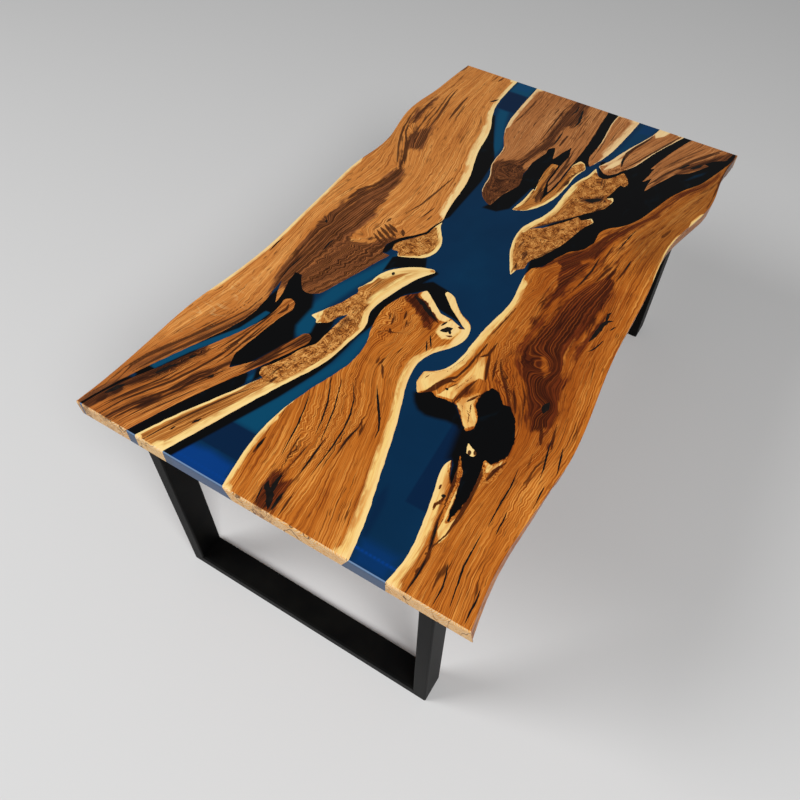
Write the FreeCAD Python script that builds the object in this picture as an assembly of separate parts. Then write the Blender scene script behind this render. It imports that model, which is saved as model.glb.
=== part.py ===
import FreeCAD, Part
import os

from FreeCAD import Vector

# Table top, millimetres
table_length = 1700
table_width = 1016
table_height = 750
top_thickness = 44
end_ease = 3

# How far a board's underside stands out past its top edge, or is cut back under it
back_flare_near = 16
back_flare_far = 4
front_flare = 16
front_undercut = 4
tongue_undercut = 26
head_undercut = 4

# Leg frames of rectangular steel tube, mitred at the floor, with a flat bar on top
leg_width = 800
leg_inset = 43
leg_shift = 3
tube_depth = 80
tube_face = 40
tube_wall = 3
tube_corner = 6
bar_thickness = 6

# Bolts through the flat bar into threaded inserts; the outer two are set off from the posts
front_bolt_gap = 22
back_bolt_gap = 78
middle_bolt = -28
bolt_diameter = 8
bolt_clearance = 1
bolt_engagement = 16
head_across = 13
head_height = 5.5
insert_diameter = 12
insert_length = 20

# Board outlines are drawn on a grid of squares that covers the top, run on past both ends and sawn to length
squares_along = 1700
squares_across = 1016
rough_end = 1100
outline_tolerance = 1.5

z_under = table_height - top_thickness
z_bar = z_under - bar_thickness
leg_x = table_length / 2 - leg_inset - tube_depth / 2
leg_back = leg_shift + leg_width / 2
leg_front = leg_shift - leg_width / 2


def on_top(square, z=table_height):
    # Where a point of the outline drawing lies on the table
    along, across = square
    return Vector(along * table_length / squares_along, across * table_width / squares_across, z)


def edge(points, lean=0):
    # One natural edge, from where the edge before it ends; the underside there is lean further in Y
    return points, lean


def torn(points):
    # A splintered run of edge, straight from point to point
    return [edge([point]) for point in points]


def laid_out(points):
    # A spline through the points, laid out as tangent arcs; two are a straight run, one only a start
    if len(points) == 1:
        return []
    if len(points) == 2:
        return [Part.LineSegment(*points)]
    spline = Part.BSplineCurve()
    spline.interpolate(points)
    return spline.toBiArcs(outline_tolerance)


def underside_curve(curve, leans):
    middle = curve.value((curve.FirstParameter + curve.LastParameter) / 2)
    places = zip((curve.StartPoint, middle, curve.EndPoint), leans)
    moved = [point + Vector(0, lean, -top_thickness) for point, lean in places]
    if isinstance(curve, Part.LineSegment):
        return Part.LineSegment(moved[0], moved[2])
    return Part.Arc(*moved)


def wall(curve, leans):
    # Upright below the top edge, or ruled down to an underside that stands further out or in
    upper = curve.toShape()
    lower = underside_curve(curve, leans).toShape()
    if any(leans):
        return lower, Part.makeRuledSurface(lower, upper)
    return lower, upper.extrude(Vector(0, 0, -top_thickness))


def board(*edges):
    # A closed board from its edges in order; an outline left open is closed by a straight cut
    first = edges[0][0][0]
    if edges[-1][0][-1] != first:
        edges += (edge([first]),)
    last = []
    last_lean = 0
    upper = []
    lower = []
    walls = []
    for points, lean in edges:
        curves = laid_out([on_top(point) for point in last + points])
        total = sum(curve.length() for curve in curves)
        run = 0
        for curve in curves:
            shares = [(run + part * curve.length()) / total for part in (0, 0.5, 1)]
            run += curve.length()
            under, face = wall(curve, [last_lean + (lean - last_lean) * share for share in shares])
            upper.append(curve.toShape())
            lower.append(under)
            walls.append(face)
        last = points[-1:]
        last_lean = lean
    skin = Part.makeCompound(walls + [Part.Face(Part.Wire(upper)), Part.Face(Part.Wire(lower))])
    skin.sewShape()
    solid = Part.makeSolid(skin.Shells[0])
    if solid.Volume < 0:
        solid.reverse()
    return solid


def back_slab():
    return board(
        edge([(rough_end, 262), (850, 257), (745, 258), (640, 241), (560, 206), (460, 192), (340, 156),
              (230, 142), (125, 126)]),
        *torn([(95, 136), (62, 140), (35, 160), (5, 188), (-35, 206), (-70, 200), (-68, 175)]),
        edge([(-150, 203), (-250, 240), (-290, 264), (-296, 284), (-280, 309), (-250, 328)]),
        *torn([(-250, 349), (-290, 344), (-330, 331), (-367, 326), (-335, 345), (-292, 361)]),
        edge([(-340, 357), (-410, 352), (-500, 374), (-600, 420), (-690, 457), (-760, 486),
              (-850, 514), (-rough_end, 540)]),
        edge([(-rough_end, 552)], back_flare_near),
        edge([(-850, 524), (-690, 509), (-560, 508), (-480, 505), (-400, 494), (-260, 473), (-120, 470),
              (60, 470), (250, 465), (345, 450), (430, 463), (550, 476), (650, 461), (770, 451),
              (850, 441), (rough_end, 420)], back_flare_far))


def near_back_slab():
    return board(
        edge([(-rough_end, 534), (-850, 508), (-760, 479), (-690, 440), (-600, 397), (-500, 346),
              (-430, 318), (-345, 315)]),
        *torn([(-333, 302), (-340, 283), (-362, 276), (-400, 287), (-470, 297), (-550, 308), (-592, 293),
               (-545, 256), (-480, 233), (-412, 207), (-405, 195), (-412, 181), (-432, 180)]),
        edge([(-500, 211), (-600, 262), (-700, 311), (-850, 372), (-rough_end, 480)]))


def burl_limb():
    return board(
        edge([(-rough_end, 452), (-850, 348), (-750, 303), (-600, 222), (-571, 207)]),
        *torn([(-568, 222), (-550, 229), (-525, 212), (-490, 196), (-455, 184), (-422, 162), (-380, 160),
               (-330, 156), (-300, 150), (-325, 168), (-350, 176), (-369, 203), (-357, 207), (-353, 227),
               (-320, 210), (-275, 186), (-225, 171), (-213, 181)]),
        edge([(-175, 166), (-120, 149), (-85, 113), (-62, 76), (-53, 48)]),
        *torn([(-61, 40)]),
        edge([(-105, 68), (-160, 89), (-215, 103), (-270, 108), (-305, 95), (-360, 97), (-450, 110),
              (-550, 149), (-700, 209), (-850, 268), (-rough_end, 366)]))


def tongue_slab():
    return board(
        *torn([(-140, 36), (-127, 26), (-150, -5), (-178, -42), (-181, -75), (-196, -121), (-178, -98),
               (-150, -57), (-112, -16), (-103, -18)]),
        edge([(-108, -40), (-150, -83), (-172, -121), (-200, -134), (-250, -125), (-300, -90),
              (-350, -74), (-400, -81), (-500, -119), (-600, -150), (-700, -183), (-850, -217),
              (-rough_end, -265)], tongue_undercut),
        edge([(-rough_end, 78)], -tongue_undercut),
        edge([(-850, 102), (-740, 121), (-610, 112), (-520, 88), (-430, 61), (-350, 63), (-270, 86),
              (-210, 81), (-165, 60)], -head_undercut))


def front_slab():
    return board(
        edge([(-rough_end, -296), (-850, -302), (-760, -310), (-690, -297), (-610, -277),
              (-565, -266), (-536, -275)]),
        *torn([(-575, -292), (-592, -304), (-555, -297), (-514, -283), (-550, -310), (-610, -326),
               (-676, -341), (-610, -351), (-550, -346), (-499, -334), (-502, -354), (-465, -374),
               (-420, -368), (-370, -345), (-343, -318), (-347, -302), (-322, -281), (-316, -258),
               (-345, -246), (-378, -248), (-412, -271), (-440, -277), (-456, -264), (-430, -236),
               (-404, -214), (-402, -185), (-408, -160), (-399, -146), (-421, -119), (-395, -101),
               (-356, -100)]),
        edge([(-335, -130), (-295, -150), (-210, -154), (-120, -165), (-50, -172), (10, -164),
              (40, -160), (87, -163)]),
        *torn([(105, -184), (150, -199), (190, -216), (225, -249), (262, -262), (300, -259)]),
        edge([(345, -278), (365, -299), (440, -338), (540, -366), (600, -390), (650, -421),
              (740, -449), (790, -465), (850, -469), (rough_end, -474)]),
        *torn([(rough_end, -480)]),
        edge([(850, -474), (700, -471), (640, -478), (570, -480), (500, -466), (430, -448),
              (340, -440), (240, -448), (100, -457), (-70, -462), (-230, -479), (-360, -493),
              (-465, -490)], front_undercut),
        edge([(-560, -482), (-650, -476), (-730, -477), (-850, -492), (-rough_end, -540)], -front_flare))


def loose_splinter():
    return board(*torn([(-508, -312), (-505, -292), (-479, -284), (-487, -300), (-494, -313)]))


def front_branch():
    return board(
        edge([(35, -127), (70, -107), (140, -78), (225, -74), (290, -100), (400, -112), (440, -112),
              (500, -127), (566, -140)]),
        *torn([(548, -149), (532, -161), (528, -176), (543, -195), (588, -217), (565, -238), (545, -248),
               (526, -242), (530, -229), (490, -224), (450, -216), (466, -234), (450, -241), (405, -230),
               (357, -191), (300, -151), (250, -114), (221, -87), (245, -120), (295, -158), (338, -183),
               (328, -196), (352, -217)]),
        *torn([(340, -229), (300, -212), (210, -193), (140, -165), (112, -146), (75, -146), (60, -131)]))


def front_branch_end():
    return board(
        edge([(578, -143), (615, -160), (700, -186), (800, -222), (850, -231), (rough_end, -285)]),
        *torn([(rough_end, -395)]),
        edge([(850, -309), (700, -253), (620, -226), (601, -214)]),
        *torn([(572, -199), (553, -184), (552, -168)]))


def far_front_slab():
    return board(
        edge([(rough_end, -415), (850, -335), (750, -302), (645, -276)]),
        *torn([(656, -286), (610, -283), (575, -277), (608, -296), (575, -295), (540, -297), (600, -321),
               (664, -347), (685, -378), (752, -419), (752, -404), (780, -420), (803, -452), (850, -463),
               (rough_end, -440)]))


def far_island():
    return board(
        edge([(252, 46), (262, 68), (305, 98), (355, 105), (420, 128), (500, 133), (560, 160),
              (640, 181), (740, 184), (850, 186), (rough_end, 190)]),
        *torn([(rough_end, -55)]),
        edge([(850, -63), (740, -69), (650, -76), (560, -73), (450, -72), (386, -66)]),
        *torn([(430, -49), (525, -47), (570, -51), (618, -38), (580, -26), (535, -14), (575, -3), (592, 4),
               (575, 18), (550, 15), (490, 30), (425, 28), (372, 15), (310, 38)]))


def far_claw():
    return board(
        *torn([(268, -14), (320, -22), (384, -25), (374, -32), (430, -22), (475, -18), (516, -21),
               (519, -41), (440, -43), (398, -52), (351, -65), (420, -77), (545, -77), (572, -88),
               (566, -103), (542, -117)]),
        edge([(470, -102), (390, -97), (325, -76), (285, -45), (268, -14)]))


def far_strip():
    return board(
        edge([(562, -121), (585, -107), (670, -105), (760, -95), (850, -96), (rough_end, -90)]),
        *torn([(rough_end, -175)]),
        edge([(850, -165), (700, -153), (610, -137), (562, -121)]))


def burl_knob():
    return board(
        edge([(-62, 156), (-43, 118), (-20, 87), (8, 78), (60, 90), (90, 112), (121, 123)]),
        *torn([(92, 131), (60, 132), (30, 153), (-8, 181), (-27, 188), (-46, 182), (-43, 166)]))


def river_resin(boards):
    # The casting fills all that the boards leave; its own sides lie inside the two outer slabs
    inside_back = [(-rough_end, 546), (-850, 519), (-690, 480), (-500, 440), (350, 410), (rough_end, 340)]
    inside_front = [(rough_end, -477), (850, -471.5), (780, -467), (700, -455), (450, -400), (200, -400),
                    (-300, -440), (-rough_end, -440)]
    corners = [on_top(point, z_under) for point in inside_back + inside_front]
    casting = Part.Face(Part.makePolygon(corners + corners[:1])).extrude(Vector(0, 0, top_thickness))
    return casting.cut(boards)


def sawn(piece):
    # Saw cut at both ends of the table, with the sharp top and bottom corners eased
    half = table_length / 2
    profile = [(-half + end_ease, z_under), (half - end_ease, z_under), (half, z_under + end_ease),
               (half, table_height - end_ease), (half - end_ease, table_height),
               (-half + end_ease, table_height), (-half, table_height - end_ease),
               (-half, z_under + end_ease)]
    corners = [Vector(x, -table_width, z) for x, z in profile]
    gauge = Part.Face(Part.makePolygon(corners + corners[:1])).extrude(Vector(0, 2 * table_width, 0))
    return piece.common(gauge)


def tube(length):
    # Hollow rectangular section with rounded corners, standing along Z and centred on its axis
    outer = upright_bar(tube_depth, tube_face, length)
    corners = [side for side in outer.Edges if abs(side.tangentAt(side.FirstParameter).z) > 0.5]
    bore = upright_bar(tube_depth - 2 * tube_wall, tube_face - 2 * tube_wall, length)
    return outer.makeFillet(tube_corner, corners).cut(bore)


def upright_bar(size_x, size_y, length):
    return Part.makeBox(size_x, size_y, length, Vector(-size_x / 2, -size_y / 2, 0))


def mitre_prism(corners):
    points = [Vector(-tube_depth, y, z) for y, z in corners]
    return Part.Face(Part.makePolygon(points + points[:1])).extrude(Vector(2 * tube_depth, 0, 0))


def leg_post(y_outer, inward):
    # Upright tube, cut along the mitre that runs from its outer foot up to its inner face
    y_inner = y_outer + inward * tube_face
    post = tube(z_bar)
    post.translate(Vector(0, (y_outer + y_inner) / 2, 0))
    return post.cut(mitre_prism([(y_outer, 0), (y_inner, 0), (y_inner, tube_face)]))


def leg_rail():
    # Floor tube between the two mitres
    rail = tube(leg_width)
    rail.rotate(Vector(0, 0, 0), Vector(1, 0, 0), -90)
    rail.translate(Vector(0, leg_front, tube_face / 2))
    for y_outer, inward in ((leg_front, 1), (leg_back, -1)):
        y_inner = y_outer + inward * tube_face
        rail = rail.cut(mitre_prism([(y_outer, 0), (y_outer, tube_face), (y_inner, tube_face)]))
    return rail


def bolt_rows():
    front = leg_front + tube_face + front_bolt_gap
    back = leg_back - tube_face - back_bolt_gap
    return [front, leg_shift + middle_bolt, back]


def leg_bar():
    # Flat bar welded across the posts, drilled for the bolts
    bar = Part.makeBox(tube_depth, leg_width, bar_thickness, Vector(-tube_depth / 2, leg_front, z_bar))
    radius = (bolt_diameter + bolt_clearance) / 2
    return bar.cut([Part.makeCylinder(radius, bar_thickness, Vector(0, y, z_bar)) for y in bolt_rows()])


def bolt():
    # Hexagon bolt, head down, its shank reaching up into the insert
    z_head = z_bar - head_height
    radius = head_across / 3 ** 0.5
    turn = Vector(radius, 0, z_head)
    corners = []
    for step in range(6):
        corner = Part.Vertex(turn)
        corner.rotate(Vector(0, 0, 0), Vector(0, 0, 1), 60 * step)
        corners.append(corner.Point)
    head = Part.Face(Part.makePolygon(corners + corners[:1])).extrude(Vector(0, 0, head_height))
    z_tip = z_under + bolt_engagement
    shank = Part.makeCylinder(bolt_diameter / 2, z_tip - z_head, Vector(0, 0, z_head))
    return head.fuse(shank).removeSplitter()


def threaded_insert():
    bush = Part.makeCylinder(insert_diameter / 2, insert_length, Vector(0, 0, z_under))
    return bush.cut(Part.makeCylinder(bolt_diameter / 2, insert_length, Vector(0, 0, z_under)))


def at_each_bolt(fastener):
    # One copy on every bolt axis of both leg frames
    copies = []
    for x in (-leg_x, leg_x):
        for y in bolt_rows():
            copy = fastener.copy()
            copy.translate(Vector(x, y, 0))
            copies.append(copy)
    return copies


def top_pieces():
    makers = [back_slab, near_back_slab, burl_limb, tongue_slab, front_slab, loose_splinter, front_branch,
              front_branch_end, far_front_slab, far_island, far_claw, far_strip, burl_knob]
    pieces = {make.__name__: make() for make in makers}
    pieces["river_resin"] = river_resin(list(pieces.values()))
    holes = at_each_bolt(Part.makeCylinder(insert_diameter / 2, insert_length, Vector(0, 0, z_under)))
    return {name: sawn(piece).cut(holes).Solids[0] for name, piece in pieces.items()}


def leg_pieces():
    pieces = {}
    for end, x in (("near", -leg_x), ("far", leg_x)):
        pieces[end + "_back_post"] = leg_post(leg_back, -1)
        pieces[end + "_front_post"] = leg_post(leg_front, 1)
        pieces[end + "_floor_rail"] = leg_rail()
        pieces[end + "_top_bar"] = leg_bar()
        for piece in ("_back_post", "_front_post", "_floor_rail", "_top_bar"):
            pieces[end + piece].translate(Vector(x, 0, 0))
    pieces["leg_bolts"] = Part.makeCompound(at_each_bolt(bolt()))
    pieces["leg_inserts"] = Part.makeCompound(at_each_bolt(threaded_insert()))
    return pieces


top = top_pieces()
bounds = Part.makeCompound(list(top.values())).optimalBoundingBox()
centring = Vector(0, -(bounds.YMin + bounds.YMax) / 2, 0)

os.makedirs("parts", exist_ok=True)
for name, piece in {**top, **leg_pieces()}.items():
    piece.translate(centring)
    piece.exportStep("parts/" + name + ".step")
    print(name, len(piece.Solids), piece.isValid(), round(piece.Volume / 1e6, 4))
print("moved in Y to centre the top", round(centring.y, 3))
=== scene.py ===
import math

import bmesh
import bpy
import numpy as np
from mathutils import Matrix, Vector, geometry, kdtree, noise


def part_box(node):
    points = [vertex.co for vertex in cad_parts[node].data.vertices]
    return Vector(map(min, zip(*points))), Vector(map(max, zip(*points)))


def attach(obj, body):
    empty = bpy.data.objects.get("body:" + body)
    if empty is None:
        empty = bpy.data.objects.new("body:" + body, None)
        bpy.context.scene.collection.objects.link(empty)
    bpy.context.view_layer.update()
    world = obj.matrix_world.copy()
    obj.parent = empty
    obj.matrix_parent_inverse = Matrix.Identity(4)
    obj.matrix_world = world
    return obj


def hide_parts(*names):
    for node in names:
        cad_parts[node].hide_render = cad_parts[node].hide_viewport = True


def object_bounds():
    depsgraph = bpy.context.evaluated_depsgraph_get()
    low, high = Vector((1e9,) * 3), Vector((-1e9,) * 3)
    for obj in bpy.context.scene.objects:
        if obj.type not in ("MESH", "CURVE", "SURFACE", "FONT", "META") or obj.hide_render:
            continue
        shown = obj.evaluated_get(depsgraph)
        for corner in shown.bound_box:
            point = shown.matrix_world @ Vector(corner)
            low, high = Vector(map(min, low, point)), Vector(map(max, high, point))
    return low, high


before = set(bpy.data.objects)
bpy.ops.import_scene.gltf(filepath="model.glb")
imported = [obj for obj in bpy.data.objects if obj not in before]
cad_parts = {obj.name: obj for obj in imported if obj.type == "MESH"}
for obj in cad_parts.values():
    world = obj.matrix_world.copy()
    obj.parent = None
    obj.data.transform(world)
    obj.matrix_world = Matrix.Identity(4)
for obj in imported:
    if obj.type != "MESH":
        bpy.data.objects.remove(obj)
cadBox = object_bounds()
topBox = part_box("back_slab")
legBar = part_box("near_top_bar")

# the table top, in metres
tabletop = {
    "top": round(topBox[1].z, 6),
    "under": round(topBox[0].z, 6),
    "end": round(cadBox[1].x, 6),   # half the length
    "ease": 0.003,                  # eased corner along the sawn ends
    "step": 0.0032,                 # spacing of points on the sanded face
    "underStep": 0.014,             # the same on the underside
    "arris": 0.0024,                # rounding of the outer live edges
    "relief": 0.0040,               # unevenness of the outer live edges, always inwards
    "wander": 0.0011,               # unevenness of the edges along the river
}
millimetre = 0.001
legOffset = 0.003     # from the drawings' middle line to the middle of the leg frames
sheetShift = (legBar[0].y + legBar[1].y) / 2 - legOffset
farAway = 9.0
tiny = 1e-12
resinName = "river_resin"


def onSheet(points):
    # drawings are in millimetres, on the sheet that the boards' outlines were drawn on
    return np.array(points, float) * millimetre + np.array([0, sheetShift])


def deselectAll():
    bpy.ops.object.select_all(action="DESELECT")


def choose(piece):
    deselectAll()
    piece.select_set(True)
    bpy.context.view_layer.objects.active = piece


def smoothStep(low, high, value):
    t = np.clip((value - low) / (high - low), 0, 1)
    return t * t * (3 - 2 * t)


def besideEdge(points, a, b):
    # share of the way along an edge, and distance from it
    run = b - a
    share = np.clip(((points - a) @ run) / max(run @ run, tiny), 0, 1)
    return share, np.linalg.norm(points - a - share[:, None] * run, axis=1)


def distanceTo(points, line, closed=False):
    line = np.vstack([line, line[:1]]) if closed else line
    best = np.full(len(points), farAway)
    for a, b in zip(line[:-1], line[1:]):
        best = np.minimum(best, besideEdge(points, a, b)[1])
    return best


def lengthsAlong(line):
    return np.r_[0, np.cumsum(np.linalg.norm(np.diff(line, axis=0), axis=1))]


stroke = {"ends": 0.04, "fullness": 0.6, "core": 1.45}   # how drawn strokes thin out and fade


def strokeOf(points, line, width):
    # 1 along a drawn stroke that thins out towards its ends, falling to 0 at its sides
    steps = lengthsAlong(line)
    best = np.full(len(points), farAway)
    for k, (a, b) in enumerate(zip(line[:-1], line[1:])):
        t, away = besideEdge(points, a, b)
        share = (steps[k] + t * (steps[k + 1] - steps[k])) / steps[-1]
        thin = np.sin(np.pi * np.clip(share, stroke["ends"], 1 - stroke["ends"])) ** stroke["fullness"]
        best = np.minimum(best, away / (width * thin))
    return np.clip(stroke["core"] - best, 0, 1)


def insideOf(points, polygon, stops=None):
    # odd count of crossings; edges in no order are given as starts and stops
    odd = np.zeros(len(points), bool)
    for a, b in zip(polygon, np.roll(polygon, -1, axis=0) if stops is None else stops):
        if a[1] == b[1]:
            continue
        spans = (a[1] > points[:, 1]) != (b[1] > points[:, 1])
        odd ^= spans & (points[:, 0] < a[0] + (points[:, 1] - a[1]) * (b[0] - a[0]) / (b[1] - a[1]))
    return odd


def softPatch(points, drawn, soft):
    # 1 inside the drawn patch, 0 outside, half on its line
    patch = onSheet(drawn)
    away = distanceTo(points, patch, closed=True)
    away[~insideOf(points, patch)] *= -1
    return np.clip(0.5 + away / (2 * soft * millimetre), 0, 1)


reading = {"merge": 2e-5, "upright": 0.99, "level": 1e-4}   # how flat faces of the CAD pieces are found


def rimEdges(nodeName, level):
    # the edges round a CAD piece's flat top or underside, in no order
    bm = bmesh.new()
    bm.from_mesh(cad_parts[nodeName].data)
    bmesh.ops.remove_doubles(bm, verts=bm.verts, dist=reading["merge"])
    near = [f for f in bm.faces if abs(f.calc_center_median().z - level) < reading["level"]]
    flat = {f for f in near if abs(f.normal.z) > reading["upright"]}
    pairs = []
    for edge in bm.edges:
        if sum(face in flat for face in edge.link_faces) == 1:
            pairs.append([(v.index, tuple(v.co.xy)) for v in edge.verts])
    bm.free()
    return pairs


def rimOf(nodeName, level):
    # outline of a board's top or underside, in order and anticlockwise
    following, places = {}, {}
    for (a, atA), (b, atB) in rimEdges(nodeName, level):
        following.setdefault(a, []).append(b)
        following.setdefault(b, []).append(a)
        places[a], places[b] = atA, atB
    loops = []
    while following:
        walk = [next(iter(following))]
        while True:
            onward = [v for v in following.pop(walk[-1], []) if v in following]
            if not onward:
                break
            walk.append(onward[0])
        loops.append(np.array([places[v] for v in walk]))
    rim = max(loops, key=lambda loop: np.ptp(loop[:, 0]) * np.ptp(loop[:, 1]))
    x, y = rim.T
    if np.sum(x * np.roll(y, -1) - y * np.roll(x, -1)) < 0:
        rim = rim[::-1]
    return rim


def divided(rim, step):
    points = []
    for a, b in zip(rim, np.roll(rim, -1, axis=0)):
        count = max(1, math.ceil(np.linalg.norm(b - a) / step))
        points += [a + (b - a) * k / count for k in range(count)]
    return np.array(points)


def nearestTree(points):
    tree = kdtree.KDTree(len(points))
    for index, point in enumerate(points):
        tree.insert((point[0], point[1], 0), index)
    tree.balance()
    return tree


# drift of the river edges: it fades at the sawn ends and is rougher round the knot hole and the slit
drifting = {
    "endGap": 0.004, "fade": 0.03, "scale": 55, "layer": 3.7, "fineScale": 2.7, "fine": 0.45, "rough": 1.5,
    "broken": [(-480, -215), (-400, -190), (-300, -225), (-285, -260), (-310, -330), (-390, -395),
               (-480, -395), (-560, -370), (-705, -360), (-690, -335), (-600, -300), (-520, -260),
               (-470, -285)],
    "brokenSoft": 8, "seed": 11,
}
noise.seed_set(drifting["seed"])   # the drift is then the same each run


def wander(points):
    moved = points.copy()
    broken = softPatch(points, drifting["broken"], drifting["brokenSoft"]).tolist()
    scale = drifting["scale"]
    for point, rough in zip(moved, broken):
        inFromEnd = tabletop["end"] - drifting["endGap"] - abs(point[0])
        fade = min(1, max(0, inFromEnd / drifting["fade"]))
        place = Vector((point[0] * scale, point[1] * scale, drifting["layer"]))
        fine = noise.noise_vector(place * drifting["fineScale"])
        drift = noise.noise_vector(place) + (drifting["fine"] + drifting["rough"] * rough) * fine
        point += np.array(drift.xy) * tabletop["wander"] * fade
    return moved


slope = {"cornerGap": 5e-4, "most": 0.045}   # of the boards' sides, as read from the CAD outlines


def leanOf(points, lowRim):
    # how far the underside stands out in Y below each point of the top edge
    a, b = lowRim, np.roll(lowRim, -1, axis=0)
    leans = np.zeros(len(points))
    reach = tabletop["end"] - tabletop["ease"] - slope["cornerGap"]
    for index, (x, y) in enumerate(points):
        x = min(reach, max(-reach, x))
        crossed = (a[:, 0] > x) != (b[:, 0] > x)
        if crossed.any():
            p, q = a[crossed], b[crossed]
            gaps = p[:, 1] + (x - p[:, 0]) * (q[:, 1] - p[:, 1]) / (q[:, 0] - p[:, 0]) - y
            gap = gaps[np.argmin(abs(gaps))]
            leans[index] = gap if abs(gap) < slope["most"] else 0
    return leans


edgePoints = {
    "onEnd": 1e-4,       # a point this near a sawn end lies on it
    "river": 0.0025,     # a point farther than this from the casting lies on an outer edge
    "rounds": 3,         # of smoothing
    "pull": 0.5,
    "least": 0.0012,     # points closer together than this are dropped
}


def naturalRim(nodeName, resinTree):
    # a board's top edge with its leans; "give" is how much of its relief it keeps
    points = divided(rimOf(nodeName, tabletop["top"]), tabletop["step"])
    atEnd = abs(points[:, 0]) > tabletop["end"] - tabletop["ease"] - edgePoints["onEnd"]
    toRiver = np.array([resinTree.find((p[0], p[1], 0))[2] for p in points])
    outer = (toRiver > edgePoints["river"]) & ~atEnd
    leans = leanOf(points, rimOf(nodeName, tabletop["under"]))
    for side in (-1, 1):
        ended = np.flatnonzero(atEnd & (np.sign(points[:, 0]) == side))
        if len(ended):
            low, high = ended[np.argmin(points[ended, 1])], ended[np.argmax(points[ended, 1])]
            leans[ended] = np.interp(points[ended, 1], points[[low, high], 1], leans[[low, high]])
    for _ in range(edgePoints["rounds"]):
        middle = (np.roll(points, 1, axis=0) + np.roll(points, -1, axis=0)) / 2
        points[~atEnd] += edgePoints["pull"] * (middle - points)[~atEnd]
    inner = ~atEnd & ~outer
    points[inner] = wander(points)[inner]
    gap = np.linalg.norm(points - np.roll(points, 1, axis=0), axis=1)
    keep = (gap > edgePoints["least"]) | atEnd
    return {"points": points[keep], "atEnd": atEnd[keep], "outer": outer[keep], "leans": leans[keep],
            "give": np.ones(keep.sum())}


# rows of points down a board's side: depth in metres, then shares of the arris and of the relief
sideRows = [(0, 1, 0.05), (0.0007, 0.28, 0.1), (0.0026, 0, 0.25), (0.007, 0, 0.6), (0.013, 0, 0.9),
            (0.020, 0, 1), (0.027, 0, 0.95), (0.034, 0, 0.8), (0.041, 0.15, 0.5), (0.044, 0.8, 0.4)]
lastRow = len(sideRows) - 1
liveEdge = {"scale": 22, "downScale": 45, "middle": 0.5, "swell": 0.4, "grit": 0.2, "gritScale": 3.3}


def wallRows(rim):
    # the rows of points down the side of a board: drawn in at an outer arris, eased at a sawn end
    points, count = rim["points"], len(rim["points"])
    along = np.roll(points, -1, axis=0) - np.roll(points, 1, axis=0)
    inward = np.stack([-along[:, 1], along[:, 0]], 1) / np.linalg.norm(along, axis=1)[:, None]
    thickness = tabletop["top"] - tabletop["under"]
    scale = liveEdge["scale"]
    rows = []
    for depth, inset, relief in sideRows:
        row = np.zeros((count, 3))
        row[:, :2] = points
        row[:, 1] += rim["leans"] * depth / thickness
        row[:, 2] = tabletop["top"] - depth
        for index in np.flatnonzero(rim["outer"]):
            x, y = points[index] * scale
            place = Vector((x, y, depth * liveEdge["downScale"]))
            grit = noise.noise(place * liveEdge["gritScale"])
            bump = liveEdge["middle"] + liveEdge["swell"] * noise.noise(place) + liveEdge["grit"] * grit
            depthIn = inset * tabletop["arris"] + relief * tabletop["relief"] * min(1, max(0, bump))
            row[index, :2] += inward[index] * depthIn * rim["give"][index]
        side = np.sign(points[:, 0])
        eased = min(depth, thickness - depth, tabletop["ease"])
        ended = rim["atEnd"]
        row[ended, 0] = side[ended] * (tabletop["end"] - tabletop["ease"] + eased)
        rows.append(row)
    return rows


# edges that cross by more than the least are settled with the points before and after them, more each turn
settling = {"turns": 24, "before": 5, "after": 7, "share": 0.5, "least": 1e-18}


def crossings(starts, stops):
    # numbers of the edges that cross another edge
    low, high = np.minimum(starts, stops), np.maximum(starts, stops)

    def sides(a, b, points):
        run, away = b - a, points - a
        return run[..., 0] * away[..., 1] - run[..., 1] * away[..., 0]

    def parted(a, b, p, q):
        return sides(a, b, p) * sides(a, b, q) < -settling["least"]

    found = set()
    for k in range(len(starts)):
        near = np.flatnonzero(np.all((low < high[k]) & (high > low[k]), axis=1))
        near = near[near > k]
        a, b, p, q = starts[k], stops[k], starts[near], stops[near]
        crossed = parted(a, b, p, q) & parted(p, q, a[None], b[None])
        if crossed.any():
            found |= {k, *near[crossed].tolist()}
    return sorted(found)


def settle(rims):
    # boards lean and recede less wherever their undersides would cross
    owners = [(rim, k) for rim in rims for k in range(len(rim["points"]))]
    for turn in range(settling["turns"]):
        lows = [wallRows(rim)[-1][:, :2] for rim in rims]
        found = crossings(np.vstack(lows), np.vstack([np.roll(low, -1, axis=0) for low in lows]))
        if not found:
            break
        shares = {id(rim): np.ones(len(rim["points"])) for rim in rims}
        for number in found:
            rim, k = owners[number]
            share = shares[id(rim)]
            around = (k + np.arange(-settling["before"] - turn, settling["after"] + turn)) % len(share)
            share[around] = np.minimum(share[around], 1 - settling["share"] * np.hanning(len(around)))
        for rim in rims:
            rim["leans"] *= shares[id(rim)]
            rim["give"] *= shares[id(rim)]
    print("undersides settled in", turn, "turns,", len(found), "edges cross")


filling = {"rowGap": 0.88, "clear": 0.62, "sliverClear": 0.0011, "precision": 1e-7}   # first two in steps


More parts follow.
